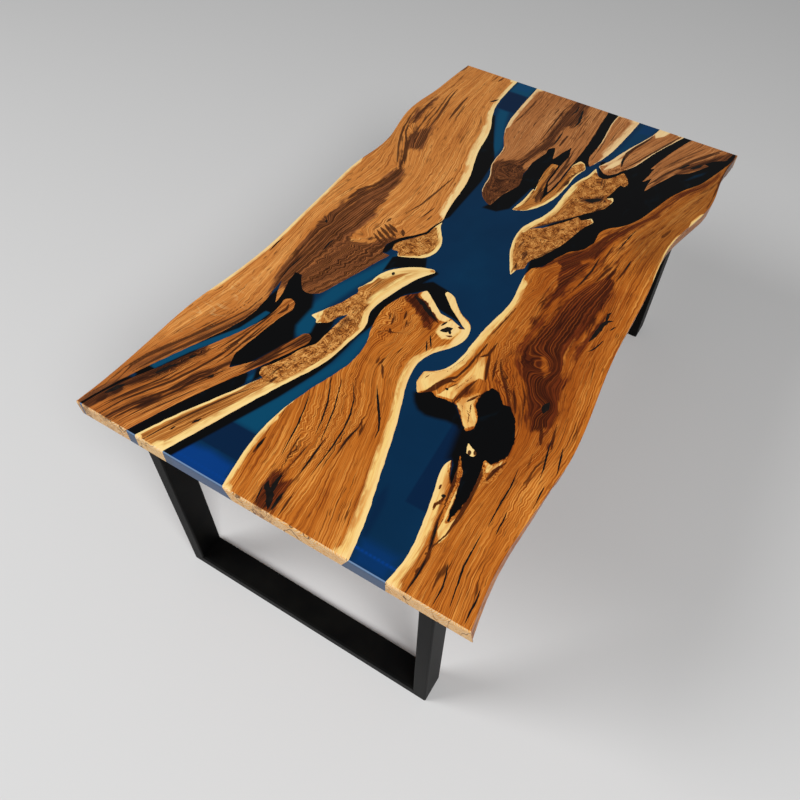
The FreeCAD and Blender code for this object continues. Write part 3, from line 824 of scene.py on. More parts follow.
tongueSlab = {
    "node": "tongue_slab", "finish": "warm", "step": 0.0026, "checks": 0.9,
    "flow": [
        [(-850, -217), (-700, -183), (-600, -150), (-500, -119), (-400, -81), (-350, -74), (-300, -80),
         (-200, -90), (-100, -60)],
        [(-850, -125), (-700, -88), (-600, -64), (-500, -37), (-420, 5), (-350, 12), (-300, 0), (-200, -12),
         (-100, 0)],
        [(-850, -44), (-735, -41), (-650, -38), (-590, -32), (-550, -22), (-510, -5), (-470, 25), (-400, 42),
         (-300, 47), (-200, 35), (-100, 30)],
        [(-850, 10), (-750, 12), (-640, 12), (-600, 22), (-550, 40), (-500, 68), (-450, 92), (-300, 110),
         (-100, 120)],
        [(-850, 34), (-725, 43), (-640, 60), (-590, 75), (-545, 92), (-450, 130), (-300, 160), (-100, 170)],
        [(-850, 104), (-740, 121), (-610, 150), (-500, 190), (-300, 230), (-100, 240)]],
    "sap": [
        ([(-850, -217), (-700, -183), (-600, -150)], 25),
        ([(-600, -150), (-500, -119), (-400, -81), (-350, -74)], 20),
        ([(-350, -74), (-300, -90), (-250, -125), (-200, -134)], 14),
        ([(-850, 102), (-740, 121), (-660, 118)], 11), ([(-660, 118), (-600, 110)], 4)],
    "sapPatches": [
        ([(-150, 34), (-130, 36), (-124, 22), (-150, -10), (-171, -40), (-180, -72), (-196, -67),
          (-200, -50), (-182, -16), (-166, 10)], 4, 1),
        ([(-112, -8), (-96, -10), (-104, -40), (-150, -83), (-172, -121), (-190, -138), (-240, -130),
          (-262, -108), (-236, -108), (-205, -112), (-184, -100), (-176, -92), (-150, -54)], 4, 1),
        ([(-238, -60), (-212, -58), (-196, -66), (-180, -78), (-186, -105), (-205, -112), (-240, -104),
          (-250, -85)], 6, 1)],
    "dark": [
        ([(-178, 66), (-158, 64), (-140, 44), (-160, 32), (-168, 12), (-186, -15), (-198, -48), (-215, -40),
          (-236, -46), (-240, -30), (-216, -4), (-200, 22), (-190, 46)], 6, 1),
        ([(-850, 26), (-800, 35), (-765, 33), (-738, 14), (-770, 0), (-756, -15), (-800, -22),
          (-850, -25)], 7, 0.85),
        ([(-330, 24), (-290, 60), (-240, 76), (-190, 66), (-200, 20), (-250, -10), (-300, 4)], 26, 0.36)],
    "streaks": [
        ([(-845, -40), (-800, -36), (-780, -34)], 3, 0.8), ([(-748, 99), (-700, 101)], 4, 0.9),
        ([(-740, 22), (-700, 33), (-650, 40)], 3, 0.8), ([(-750, 12), (-700, 10), (-660, 9)], 3, 0.8),
        ([(-780, -17), (-720, -17), (-640, -13)], 4, 0.8),
        ([(-670, -58), (-620, -54), (-570, -58), (-540, -52)], 4, 0.8), ([(-400, 8), (-375, 12)], 4, 0.8),
        ([(-430, -32), (-400, -12), (-390, -2)], 4, 0.7), ([(-300, 30), (-285, 40)], 4, 0.8),
        ([(-275, 42), (-250, 50)], 4, 0.8), ([(-262, 56), (-240, 64)], 4, 0.7),
        ([(-245, 24), (-215, 34)], 4, 0.8), ([(-300, 50), (-292, 22), (-284, 6)], 3, 0.7),
        ([(-262, 10), (-240, 18)], 3, 0.7), ([(-235, -90), (-228, -104)], 4, 0.8),
        ([(-195, -100), (-190, -116)], 6, 1),
        ([(-150, 50), (-164, 34), (-173, 10), (-191, -18), (-207, -50)], 11, 1),
        ([(-170, 58), (-182, 28), (-202, -8), (-222, -36)], 8, 0.9)],
    "knots": [(-258, 44, 18, 1.0, 0), (-320, 22, 18, 0.7, 0), (-218, -82, 12, 0.6, 0.5)],
    "curl": [
        ([(-800, 25), (-740, -5), (-700, -30), (-600, -66), (-520, -50), (-470, 5), (-430, 45), (-520, 55),
          (-600, 60), (-660, 56), (-730, 42)], 16, 1),
        ([(-340, 20), (-310, 76), (-230, 86), (-186, 60), (-210, 8), (-245, -24), (-310, -4)], 18, 1),
        ([(-420, -42), (-360, -52), (-300, -52), (-300, -30), (-360, -30)], 12, 0.8)],
    "cracks": [
        ([(-725, 42), (-690, 50), (-640, 60), (-590, 75), (-548, 90)], 3),
        ([(-640, 12), (-600, 22), (-550, 40), (-500, 67), (-488, 74)], 3),
        ([(-660, -11), (-610, 2), (-560, 16), (-520, 33), (-475, 50)], 2.6),
        ([(-745, -18), (-680, -15), (-630, -12)], 3),
        ([(-735, -40), (-650, -38), (-590, -32), (-550, -22), (-510, -5), (-470, 25)], 3.2),
        ([(-640, -56), (-610, -54), (-570, -58)], 2.5),
        ([(-580, -104), (-555, -100), (-525, -83), (-495, -60), (-450, -28)], 4.4),
        ([(-843, -12), (-822, -2), (-806, 10), (-800, 24), (-784, 28)], 12),
        ([(-812, 2), (-795, 9), (-772, 12), (-755, 13)], 8), ([(-842, -19), (-815, -17), (-790, -15)], 6),
        ([(-843, 19), (-820, 26), (-800, 31)], 3), ([(-738, 99), (-722, 101), (-705, 100)], 5),
        ([(-229, -68), (-217, -80), (-204, -92)], 12), ([(-226, -96), (-214, -86)], 6),
        ([(-214, -62), (-202, -66), (-192, -70)], 4), ([(-304, -74), (-288, -66), (-272, -57)], 3),
        ([(-290, -80), (-270, -66), (-252, -55)], 3),
        ([(-160, 46), (-171, 14), (-190, -17), (-205, -46)], 10)],
}
frontSlab = {
    "node": "front_slab", "finish": "warm", "checks": 0.8,
    "flow": [
        [(-850, -496), (-730, -480), (-560, -485), (-465, -493), (-360, -496), (-230, -482), (-70, -465),
         (100, -460), (240, -451), (340, -443), (430, -451), (500, -469), (570, -483), (640, -481),
         (700, -477), (850, -480)],
        [(-850, -436), (-740, -416), (-600, -414), (-480, -408), (-420, -428), (-350, -424), (-250, -404),
         (-150, -388), (-50, -392), (50, -390), (150, -384), (250, -382), (350, -392), (450, -414),
         (560, -442), (650, -464), (850, -476)],
        [(-850, -370), (-650, -365), (-480, -388), (-400, -382), (-340, -360), (-280, -325), (-240, -292),
         (-210, -272), (-170, -265), (-100, -274), (0, -284), (60, -296), (130, -322), (250, -330),
         (350, -346), (450, -376), (560, -405), (650, -443), (750, -462), (850, -473)],
        [(-850, -340), (-650, -330), (-500, -340), (-420, -330), (-340, -300), (-280, -240), (-200, -207),
         (-100, -205), (0, -205), (60, -214), (130, -240), (200, -280), (300, -296), (365, -318),
         (440, -355), (540, -380), (600, -403), (650, -433), (740, -457), (850, -471)],
        [(-850, -302), (-760, -310), (-690, -297), (-565, -266), (-450, -200), (-400, -110), (-356, -100),
         (-295, -150), (-210, -154), (-120, -165), (-50, -172), (10, -164), (87, -163), (150, -199),
         (225, -249), (300, -259), (365, -299), (440, -338), (540, -366), (600, -390), (650, -421),
         (740, -449), (850, -469)]],
    "sap": [
        ([(-850, -302), (-760, -310), (-690, -297)], 19),
        ([(-690, -297), (-610, -277), (-565, -266), (-536, -275)], 21),
        ([(-335, -130), (-295, -150), (-210, -154), (-120, -165)], 19),
        ([(-120, -165), (-50, -172), (10, -164)], 16), ([(10, -164), (40, -160)], 8),
        ([(200, -452), (300, -441), (340, -440), (430, -448)], 4),
        ([(460, -456), (500, -466), (545, -476)], 7)],
    "sapPatches": [
        ([(-424, -118), (-405, -100), (-390, -96), (-356, -96), (-343, -120), (-322, -140), (-298, -150),
          (-300, -166), (-330, -161), (-355, -152), (-385, -142), (-405, -131)], 6, 0.8),
        ([(-408, -150), (-394, -160), (-374, -166), (-350, -181), (-300, -187), (-246, -190), (-234, -200),
          (-262, -215), (-300, -231), (-312, -238), (-312, -222), (-340, -206), (-398, -200)], 7, 0.66),
        ([(-404, -206), (-376, -213), (-360, -227), (-343, -242), (-380, -247), (-396, -260), (-412, -272),
          (-432, -278), (-458, -260), (-440, -244), (-416, -226)], 6, 0.64),
        ([(-728, -350), (-700, -331), (-672, -329), (-640, -323), (-600, -318), (-560, -310), (-526, -296),
          (-540, -308), (-600, -326), (-676, -338), (-668, -345), (-640, -353), (-700, -358)], 4, 0.7),
        ([(-534, -352), (-500, -332), (-500, -356), (-465, -374), (-500, -374), (-520, -366)], 5, 0.55)],
    "dark": [
        ([(-345, -366), (-310, -346), (-270, -320), (-240, -290), (-215, -272), (-180, -265), (-140, -268),
          (-100, -275), (-50, -280), (0, -286), (50, -295), (100, -310), (130, -325), (165, -345),
          (155, -370), (100, -376), (50, -377), (0, -375), (-50, -368), (-100, -362), (-150, -362),
          (-180, -373), (-230, -396), (-280, -406), (-300, -421), (-340, -426), (-372, -402),
          (-382, -386)], 7, 1),
        ([(-105, -255), (-50, -250), (0, -250), (50, -248), (90, -238), (125, -226), (142, -210),
          (112, -192), (92, -166), (120, -180), (150, -198), (180, -212), (208, -235), (232, -262),
          (258, -286), (240, -294), (215, -291), (205, -276), (180, -263), (168, -270), (192, -286),
          (150, -283), (100, -273), (50, -268), (0, -262), (-60, -260)], 6, 1),
        ([(200, -243), (225, -250), (270, -261), (320, -274), (355, -297), (400, -324), (450, -347),
          (500, -361), (545, -367), (590, -384), (640, -414), (690, -439), (745, -453), (720, -464),
          (650, -446), (600, -421), (550, -393), (500, -381), (450, -374), (400, -350), (350, -330),
          (300, -311), (250, -300), (220, -300), (200, -286)], 8, 0.78),
        ([(-228, -347), (-206, -326), (-176, -311), (-158, -318), (-180, -337), (-206, -354)], 6, -0.62),
        ([(-205, -384), (-150, -362), (-100, -353), (-60, -356), (-100, -361), (-150, -371),
          (-190, -390)], 5, -0.55),
        ([(118, -224), (136, -222), (136, -208), (120, -208)], 4, -1),
        ([(-380, -300), (-300, -240), (-220, -208), (-100, -215), (60, -205), (200, -240), (330, -300),
          (300, -390), (150, -400), (0, -420), (-150, -420), (-300, -440), (-420, -440),
          (-440, -395)], 20, 0.38),
        ([(200, -300), (330, -320), (450, -380), (600, -430), (700, -460), (600, -470), (400, -420),
          (200, -400)], 14, 0.36),
        ([(-310, -240), (-302, -256), (-316, -306), (-344, -344), (-400, -384), (-380, -392), (-330, -350),
          (-296, -300), (-284, -246)], 5, 0.55),
        ([(-850, -352), (-700, -362), (-560, -366), (-480, -392), (-560, -392), (-700, -380),
          (-850, -372)], 9, 0.34),
        ([(-398, -203), (-360, -207), (-312, -216), (-310, -228), (-345, -237), (-364, -226),
          (-386, -211)], 4, 0.5),
        ([(-400, -440), (-340, -424), (-300, -414), (-340, -396), (-400, -420)], 12, 0.6),
        ([(-160, -392), (-110, -380), (-40, -384), (30, -388), (90, -392), (30, -398),
          (-60, -392)], 4, 0.9)],
    "streaks": [
        ([(-428, -122), (-404, -138), (-374, -150), (-346, -161), (-330, -173)], 8, 1),
        ([(-400, -134), (-374, -147), (-352, -164), (-346, -178)], 6, 1),
        ([(-362, -152), (-335, -173), (-290, -181), (-250, -183), (-196, -188)], 4, 1),
        ([(-402, -202), (-360, -208), (-316, -217)], 5, 1),
        ([(-310, -236), (-266, -219), (-222, -204)], 5, 1),
        ([(-250, -190), (-234, -204), (-190, -206)], 5, 0.9),
        ([(-200, -178), (-120, -186), (-50, -194)], 3, 0.7),
        ([(-400, -160), (-372, -172), (-330, -194)], 2.5, 0.7),
        ([(-398, -184), (-360, -190), (-300, -208)], 2.5, 0.6),
        ([(-410, -250), (-394, -243), (-380, -238)], 3, 0.8),
        ([(-448, -262), (-430, -256), (-414, -250), (-400, -236)], 2.5, 0.8),
        ([(-424, -240), (-408, -230), (-392, -220)], 2.5, 0.7),
        ([(-384, -226), (-366, -236), (-352, -242)], 4, 0.9),
        ([(-400, -118), (-372, -112), (-350, -120)], 2.5, 0.5),
        ([(-330, -146), (-280, -160), (-220, -166)], 2.5, 0.5),
        ([(-848, -346), (-800, -347), (-760, -346), (-720, -334), (-680, -322), (-640, -318)], 5, 0.95),
        ([(-805, -344), (-785, -346)], 7, 1),
        ([(-760, -337), (-700, -352), (-650, -358), (-600, -357)], 3, 0.9),
        ([(-668, -303), (-650, -300), (-632, -306), (-620, -304)], 5, 0.8),
        ([(-648, -296), (-640, -312)], 4, 0.7),
        ([(-640, -316), (-590, -308), (-545, -292), (-515, -282)], 5, 1),
        ([(-615, -288), (-600, -286)], 4, 0.7),
        ([(-680, -352), (-600, -354), (-540, -348), (-506, -338)], 4, 1),
        ([(-546, -362), (-515, -366), (-480, -378)], 5, 0.9),
        ([(-850, -330), (-780, -334), (-720, -330)], 2.5, 0.6),
        ([(-400, -420), (-370, -408), (-350, -400)], 5, 0.9),
        ([(-400, -446), (-360, -434), (-330, -428)], 4, 0.8),
        ([(-350, -352), (-300, -334), (-256, -302)], 4, 0.7),
        ([(-345, -318), (-300, -284), (-262, -252), (-230, -236)], 4, 0.8),
        ([(-325, -312), (-285, -276), (-250, -250)], 3, 0.6),
        ([(-300, -250), (-262, -236), (-226, -226)], 4, 0.8),
        ([(-356, -338), (-320, -318), (-290, -300)], 5, 0.8),
        ([(130, -325), (170, -331), (205, -340)], 6, 0.9), ([(150, -345), (202, -352)], 6, 0.9),
        ([(150, -367), (200, -372), (258, -373)], 4, 0.9),
        ([(60, -285), (110, -295), (160, -300), (222, -298)], 4, 0.9),
        ([(205, -313), (260, -310), (300, -311)], 3, 0.8), ([(200, -290), (230, -286), (262, -296)], 4, 0.8),
        ([(-30, -232), (30, -233)], 3, 0.6), ([(376, -408), (400, -414), (425, -419)], 7, 0.7),
        ([(600, -432), (660, -456), (700, -466)], 5, 0.6),
        ([(560, -474), (650, -472), (740, -466), (850, -472)], 4, 0.7),
        ([(-500, -418), (-470, -424), (-430, -416)], 4, 0.6)],
    "ruddyAndSheen": [
        ([(-560, -400), (-390, -310), (-300, -236), (-150, -186), (100, -176), (220, -250), (320, -330),
          (260, -430), (0, -440), (-250, -456), (-450, -470)], 34, 0.62),
        # below 0: painted sheen that greys the far end of this board
        ([(150, -330), (330, -330), (450, -370), (600, -410), (850, -460), (850, -500), (560, -500),
          (330, -460), (180, -440)], 40, -1)],
    "bark": [
        ([(-440, -248), (-400, -205), (-380, -247), (-343, -242), (-312, -238), (-300, -256), (-316, -306),
          (-344, -344), (-400, -384), (-465, -376)], 3, 0.75),
        ([(-500, -356), (-534, -352), (-620, -345), (-690, -348), (-640, -324), (-600, -312),
          (-540, -290)], 3.4, 0.8)],
    "burl": [
        ([(-404, -206), (-376, -213), (-360, -227), (-343, -242), (-380, -247), (-396, -260), (-412, -272),
          (-432, -278), (-458, -260), (-440, -244), (-416, -226)], 6),
        ([(-728, -356), (-676, -328), (-600, -310), (-526, -288), (-512, -302), (-600, -334),
          (-676, -350)], 6),
        ([(-560, -352), (-500, -330), (-460, -372), (-500, -380), (-545, -372)], 6)],
    "knots": [
        (-302, -387, 20, 1.2, 0.9), (-192, -332, 24, 1.5, 0), (-355, -410, 12, 0.9, 0.5),
        (130, -216, 9, 0.8, 0), (30, -195, 22, 0.8, 0)],
    "curl": [
        ([(-660, -428), (-560, -420), (-500, -430), (-520, -470), (-640, -475)], 14, 0.6),
        ([(-470, -400), (-420, -395), (-400, -440), (-460, -440)], 10, 0.6),
        ([(-330, -300), (-280, -230), (-180, -210), (-150, -255), (-230, -262), (-290, -320)], 12, 1),
        ([(0, -175), (90, -175), (100, -215), (20, -215)], 10, 0.8)],
    "cracks": [
        ([(-830, -434), (-800, -428), (-760, -420), (-740, -416), (-700, -414), (-650, -412)], 3),
        ([(-640, -416), (-580, -413), (-530, -413), (-480, -407)], 3),
        ([(-843, -404), (-800, -402), (-775, -396), (-747, -385)], 2.6),
        ([(-843, -474), (-815, -471), (-790, -471), (-762, -466)], 3),
        ([(-648, -438), (-600, -435), (-585, -433)], 2.4),
        ([(-480, -457), (-450, -452), (-400, -440), (-372, -435)], 3),
        ([(-455, -484), (-420, -476), (-380, -466)], 3), ([(-540, -475), (-490, -473)], 2.4),
        ([(-70, -391), (-30, -396), (0, -399), (18, -404), (28, -418)], 9),
        ([(-100, -401), (-80, -412), (-44, -420)], 3.5), ([(-8, -420), (12, -428)], 3),
        ([(12, -402), (40, -396), (52, -402)], 5), ([(-322, -389), (-302, -386), (-284, -388)], 11),
        ([(268, -328), (340, -335), (374, -340)], 3), ([(208, -372), (250, -373)], 3),
        ([(-379, -172), (-371, -172)], 7), ([(90, -291), (160, -300), (214, -298)], 2.4),
        ([(-626, -299), (-620, -309)], 6), ([(-842, -347), (-800, -348), (-762, -345)], 3),
        ([(-750, -342), (-716, -333), (-680, -323)], 3)],
}
print("drawings of the large boards ready")

looseSplinter = {
    "node": "loose_splinter", "finish": "burl",
    "flow": [[(-520, -320), (-470, -310)], [(-520, -290), (-470, -280)]],
    "sapPatches": [([(-512, -318), (-508, -288), (-475, -280), (-484, -304)], 6, 1)],
    "streaks": [([(-508, -300), (-495, -296)], 5, 1), ([(-500, -312), (-490, -306)], 4, 0.9)],
}
frontBranch = {
    "node": "front_branch", "finish": "burl", "checks": 0.3,
    "flow": [
        [(35, -135), (112, -150), (210, -195), (300, -215), (400, -238), (545, -252), (600, -262)],
        [(35, -120), (140, -78), (225, -74), (290, -100), (400, -112), (500, -127), (566, -140),
         (620, -150)]],
    "sap": [
        ([(35, -127), (70, -107), (140, -78), (225, -74)], 8),
        ([(225, -74), (290, -100), (400, -112), (440, -112)], 16),
        ([(440, -112), (500, -127), (566, -140)], 8), ([(340, -229), (352, -217)], 9),
        ([(450, -241), (466, -234)], 9)],
    "burl": [
        ([(20, -140), (140, -60), (250, -100), (330, -140), (430, -130), (600, -135), (600, -260),
          (300, -250), (100, -170)], 8)],
    "dark": [
        ([(100, -128), (118, -116), (138, -122), (125, -134)], 5, 0.9),
        ([(140, -98), (165, -92), (175, -104), (150, -106)], 5, 0.7),
        ([(400, -162), (418, -158), (430, -185), (462, -208), (440, -218), (412, -195)], 6, 1),
        ([(430, -150), (520, -160), (530, -190), (500, -215), (450, -200)], 20, 0.42),
        ([(350, -175), (375, -205), (420, -225), (400, -200)], 6, 0.4)],
    "streaks": [
        ([(225, -92), (262, -122), (310, -160), (345, -186)], 5, 1),
        ([(112, -146), (160, -172), (220, -193)], 5, 0.6), ([(360, -196), (400, -222), (440, -236)], 4, 0.6),
        ([(560, -162), (592, -150)], 5, 1), ([(300, -120), (380, -140), (410, -165)], 3, 0.5),
        ([(60, -128), (84, -120)], 5, 0.7), ([(190, -112), (205, -128)], 4, 0.6),
        ([(260, -160), (275, -175)], 4, 0.6)],
    "ruddyAndSheen": [
        ([(20, -140), (140, -60), (250, -80), (620, -130), (620, -270), (300, -260), (100, -180)], 10, 0.4)],
    "knots": [
        (420, -190, 14, 1, 0.6), (170, -130, 16, 0.8, 0), (300, -180, 14, 0.7, 0.2),
        (490, -180, 16, 0.8, 0.2)],
    "cracks": [([(412, -167), (420, -180), (428, -195), (446, -209)], 12)],
}
frontBranchEnd = {
    "node": "front_branch_end", "finish": "far",
    "flow": [
        [(540, -200), (620, -226), (700, -253), (850, -309)],
        [(540, -135), (615, -160), (700, -186), (800, -222), (850, -231)]],
    "sap": [
        ([(578, -143), (615, -160), (700, -186), (800, -222)], 11),
        ([(620, -218), (720, -258), (850, -307)], 4)],
    "sapPatches": [
        ([(795, -236), (820, -224), (855, -232), (855, -268), (822, -256)], 4, 1),
        ([(565, -160), (600, -165), (640, -182), (660, -190), (620, -192), (590, -180)], 7, 1)],
    "burl": [([(540, -140), (610, -160), (620, -215), (590, -215), (545, -190)], 10)],
    "streaks": [
        ([(610, -200), (640, -193), (680, -191), (720, -201), (770, -218), (802, -226)], 6, 1),
        ([(600, -206), (660, -232), (750, -265), (850, -300)], 4, 0.9),
        ([(680, -215), (760, -244), (850, -278)], 3, 0.4),
        ([(640, -206), (740, -236), (800, -256)], 3, 0.4)],
    "cracks": [([(612, -199), (638, -193), (662, -191)], 5)],
}
farFrontSlab = {
    "node": "far_front_slab", "finish": "far",
    "flow": [
        [(540, -300), (664, -352), (752, -424), (803, -458), (850, -468)],
        [(540, -262), (645, -276), (750, -302), (850, -335)]],
    "dark": [
        ([(660, -344), (700, -350), (745, -376), (770, -392), (830, -438), (860, -455), (860, -472),
          (790, -456), (755, -430), (715, -395), (680, -372)], 8, 0.9),
        ([(540, -300), (600, -300), (650, -318), (700, -340), (660, -344), (600, -326)], 6, 0.5)],
    "streaks": [
        ([(580, -284), (660, -300), (750, -340), (850, -392)], 4, 0.6),
        ([(560, -292), (650, -322), (740, -366), (830, -424)], 5, 0.9),
        ([(600, -278), (680, -290), (760, -318), (850, -352)], 4, 0.5),
        ([(690, -340), (740, -362), (790, -392), (850, -430)], 5, 0.8),
        ([(640, -300), (720, -335), (800, -378)], 3, 0.6)],
    "cracks": [([(690, -346), (712, -358), (730, -368)], 6), ([(706, -374), (730, -390), (748, -402)], 8)],
}
farIsland = {
    "node": "far_island", "finish": "far",
    "flow": [
        [(252, 0), (386, -66), (450, -72), (560, -73), (650, -76), (850, -63)],
        [(252, 46), (330, 40), (430, 60), (500, 42), (600, 30), (700, 36), (850, 30)],
        [(252, 55), (330, 80), (430, 105), (470, 78), (520, 58), (600, 50), (700, 56), (850, 48)],
        [(252, 60), (305, 98), (420, 130), (500, 133), (560, 160), (640, 181), (740, 184), (850, 186)]],
    "sap": [
        ([(590, 168), (640, 181), (740, 184), (850, 186)], 11),
        ([(305, 98), (355, 105), (420, 128), (500, 133)], 2.5)],
    "burl": [
        ([(245, 40), (262, 72), (305, 102), (400, 122), (450, 110), (470, 60), (430, 20), (330, 25)], 10)],
    "dark": [
        ([(240, 46), (256, 72), (290, 98), (320, 107), (365, 108), (390, 118), (420, 131), (442, 123),
          (456, 106), (476, 80), (500, 60), (480, 38), (440, 28), (425, 18), (372, 8), (340, 26),
          (300, 36)], 6, 0.9),
        ([(436, 120), (460, 86), (500, 63), (560, 53), (620, 49), (700, 53), (780, 58), (860, 48), (860, 6),
          (800, -2), (760, -6), (715, 0), (700, 14), (640, 14), (600, 8), (580, 18), (540, 18), (500, 32),
          (460, 38)], 7, 0.85),
        ([(445, 38), (500, 32), (560, 22), (560, 30), (500, 42), (460, 46)], 4, -0.6),
        ([(600, 22), (660, 26), (700, 22), (660, 18)], 4, -0.6)],
    "streaks": [
        ([(620, 166), (700, 158), (850, 155)], 4, 0.7), ([(600, -4), (640, -3), (670, -4)], 4, 1),
        ([(640, -18), (740, -12), (850, -16)], 3, 0.5),
        ([(600, 57), (700, 58), (780, 62), (850, 50)], 3, 0.9),
        ([(430, -58), (520, -58), (620, -50)], 4, 0.8), ([(380, -50), (480, -64), (560, -66)], 4, 0.8),
        ([(480, -68), (600, -66), (700, -62), (850, -52)], 3, 0.5),
        ([(640, -36), (740, -40), (850, -36)], 3, 0.5), ([(550, 56), (640, 40), (760, 44)], 4, 0.9)],
    "knots": [(380, 62, 22, 1.1, 0.3), (330, 75, 14, 0.8, 0.2)],
    "cracks": [
        ([(712, -2), (750, -5), (785, 4), (822, 12)], 6), ([(600, 12), (640, 14), (680, 16)], 4),
        ([(770, 30), (800, 26), (830, 30)], 4)],
}
farClaw = {
    "node": "far_claw", "finish": "burl", "checks": 0.4,
    "flow": [
        [(268, -34), (325, -80), (390, -100), (470, -106), (572, -122)],
        [(268, -10), (384, -22), (475, -15), (572, -20)]],
    "sap": [
        ([(285, -45), (325, -76), (390, -97)], 9), ([(390, -97), (470, -102), (542, -117)], 4),
        ([(268, -14), (320, -22), (384, -25)], 9), ([(545, -77), (572, -88), (566, -103)], 9)],
    "burl": [([(480, -80), (580, -70), (580, -125), (500, -110)], 10)],
    "dark": [
        ([(330, -60), (345, -42), (400, -36), (500, -34), (500, -40), (420, -46), (380, -56)], 5, 0.85)],
    "streaks": [
        ([(300, -32), (340, -32), (384, -30)], 4, 0.6), ([(340, -66), (380, -58), (410, -48)], 5, 0.9),
        ([(400, -88), (480, -92), (530, -106)], 4, 0.8), ([(390, -26), (440, -26), (510, -25)], 3, 0.5),
        ([(440, -94), (470, -96)], 6, 1)],
    "knots": [(335, -52, 12, 0.8, 0.3)],
}
farStrip = {
    "node": "far_strip", "finish": "far",
    "flow": [[(562, -125), (700, -153), (850, -165)], [(562, -112), (670, -105), (850, -96)]],
    "sap": [
        ([(590, -132), (610, -137), (660, -147)], 7), ([(660, -147), (700, -153), (850, -165)], 20),
        ([(670, -105), (760, -95), (850, -96)], 3.5)],
    "streaks": [
        ([(575, -114), (660, -112), (740, -106)], 3, 0.7),
        ([(640, -122), (740, -124), (850, -128)], 3, 0.4)],
}
burlKnob = {
    "node": "burl_knob", "finish": "burl", "checks": 0.3,
    "flow": [[(-62, 120), (-20, 85), (60, 88), (121, 118)], [(-62, 190), (-8, 184), (60, 136), (121, 128)]],
    "sap": [
        ([(-62, 156), (-43, 118), (-20, 87)], 7),
        ([(-20, 87), (8, 78), (60, 90), (90, 112), (121, 123)], 11)],
    "burl": [([(-80, 200), (130, 140), (130, 70), (-80, 70)], 6)],
    "dark": [([(-10, 178), (30, 150), (60, 132), (40, 128), (5, 158)], 6, 0.6)],
    "knots": [(10, 130, 16, 0.8, 0.2), (-25, 160, 10, 0.6, 0)],
}

boards = [backSlab, nearBackSlab, burlLimb, tongueSlab, frontSlab, looseSplinter, frontBranch, frontBranchEnd,
          farFrontSlab, farIsland, farClaw, farStrip, burlKnob]
print("drawings of all boards ready", len(boards))

# casting: spacing of points on its sawn ends, top and underside, and the frame that its inner points keep to
castGrid = {"endStep": 0.005, "step": 0.0055, "underStep": 0.02, "endGap": 0.0045, "wide": 0.7}


def endGaps(rims, rows):
    # columns of points across the resin at both sawn ends, from one board's corner to the next board's
    chains = []
    for side in (-1, 1):
        spans = []
        for b, rim in enumerate(rims):
            ended = np.flatnonzero(rim["atEnd"] & (np.sign(rim["points"][:, 0]) == side))
            if len(ended):
                y = rim["points"][ended, 1]
                spans.append((y.min(), y.max(), (b, ended[np.argmin(y)]), (b, ended[np.argmax(y)])))
        spans.sort()
        for lower, upper in zip(spans[:-1], spans[1:]):
            start, stop = lower[3], upper[2]
            count = max(1, math.ceil((upper[0] - lower[1]) / castGrid["endStep"]))
            first = np.array([row[start[1]] for row in rows[start[0]]])
            final = np.array([row[stop[1]] for row in rows[stop[0]]])
            between = [first + (final - first) * m / count for m in range(1, count)]
            chains.append((start, between, stop))
    return chains


def cornersOf(triangle):
    return zip(triangle, triangle[1:] + triangle[:1])


def castTriangles(found, triangles, wooden, places, fixed, castEdges):
    # marks the triangles of the casting: whole parts at a time, where most of a part lies in the CAD casting
    sharers, beside = {}, {}
    for t in np.flatnonzero(~wooden):
        for a, b in cornersOf(triangles[t]):
            if frozenset((places[a], places[b])) not in fixed:
                sharers.setdefault(frozenset((a, b)), []).append(t)
    for pair in sharers.values():
        if len(pair) == 2:
            beside.setdefault(pair[0], []).append(pair[1])
            beside.setdefault(pair[1], []).append(pair[0])
    middles = np.array([found[list(t)].mean(0) for t in triangles])
    cast = insideOf(middles, castEdges[:, 0], castEdges[:, 1])
    sizes = np.array([abs(geometry.area_tri(*[Vector(found[v]).to_3d() for v in t])) for t in triangles])
    kept = np.zeros(len(triangles), bool)
    seen = set()
    for t in np.flatnonzero(~wooden):
        if t in seen:
            continue
        seen.add(t)
        part, ahead = [], [t]
        while ahead:
            here = ahead.pop()
            part.append(here)
            fresh = [other for other in beside.get(here, []) if other not in seen]
            seen.update(fresh)
            ahead += fresh
        kept[part] = sizes[part][cast[part]].sum() > sizes[part].sum() / 2
    return kept


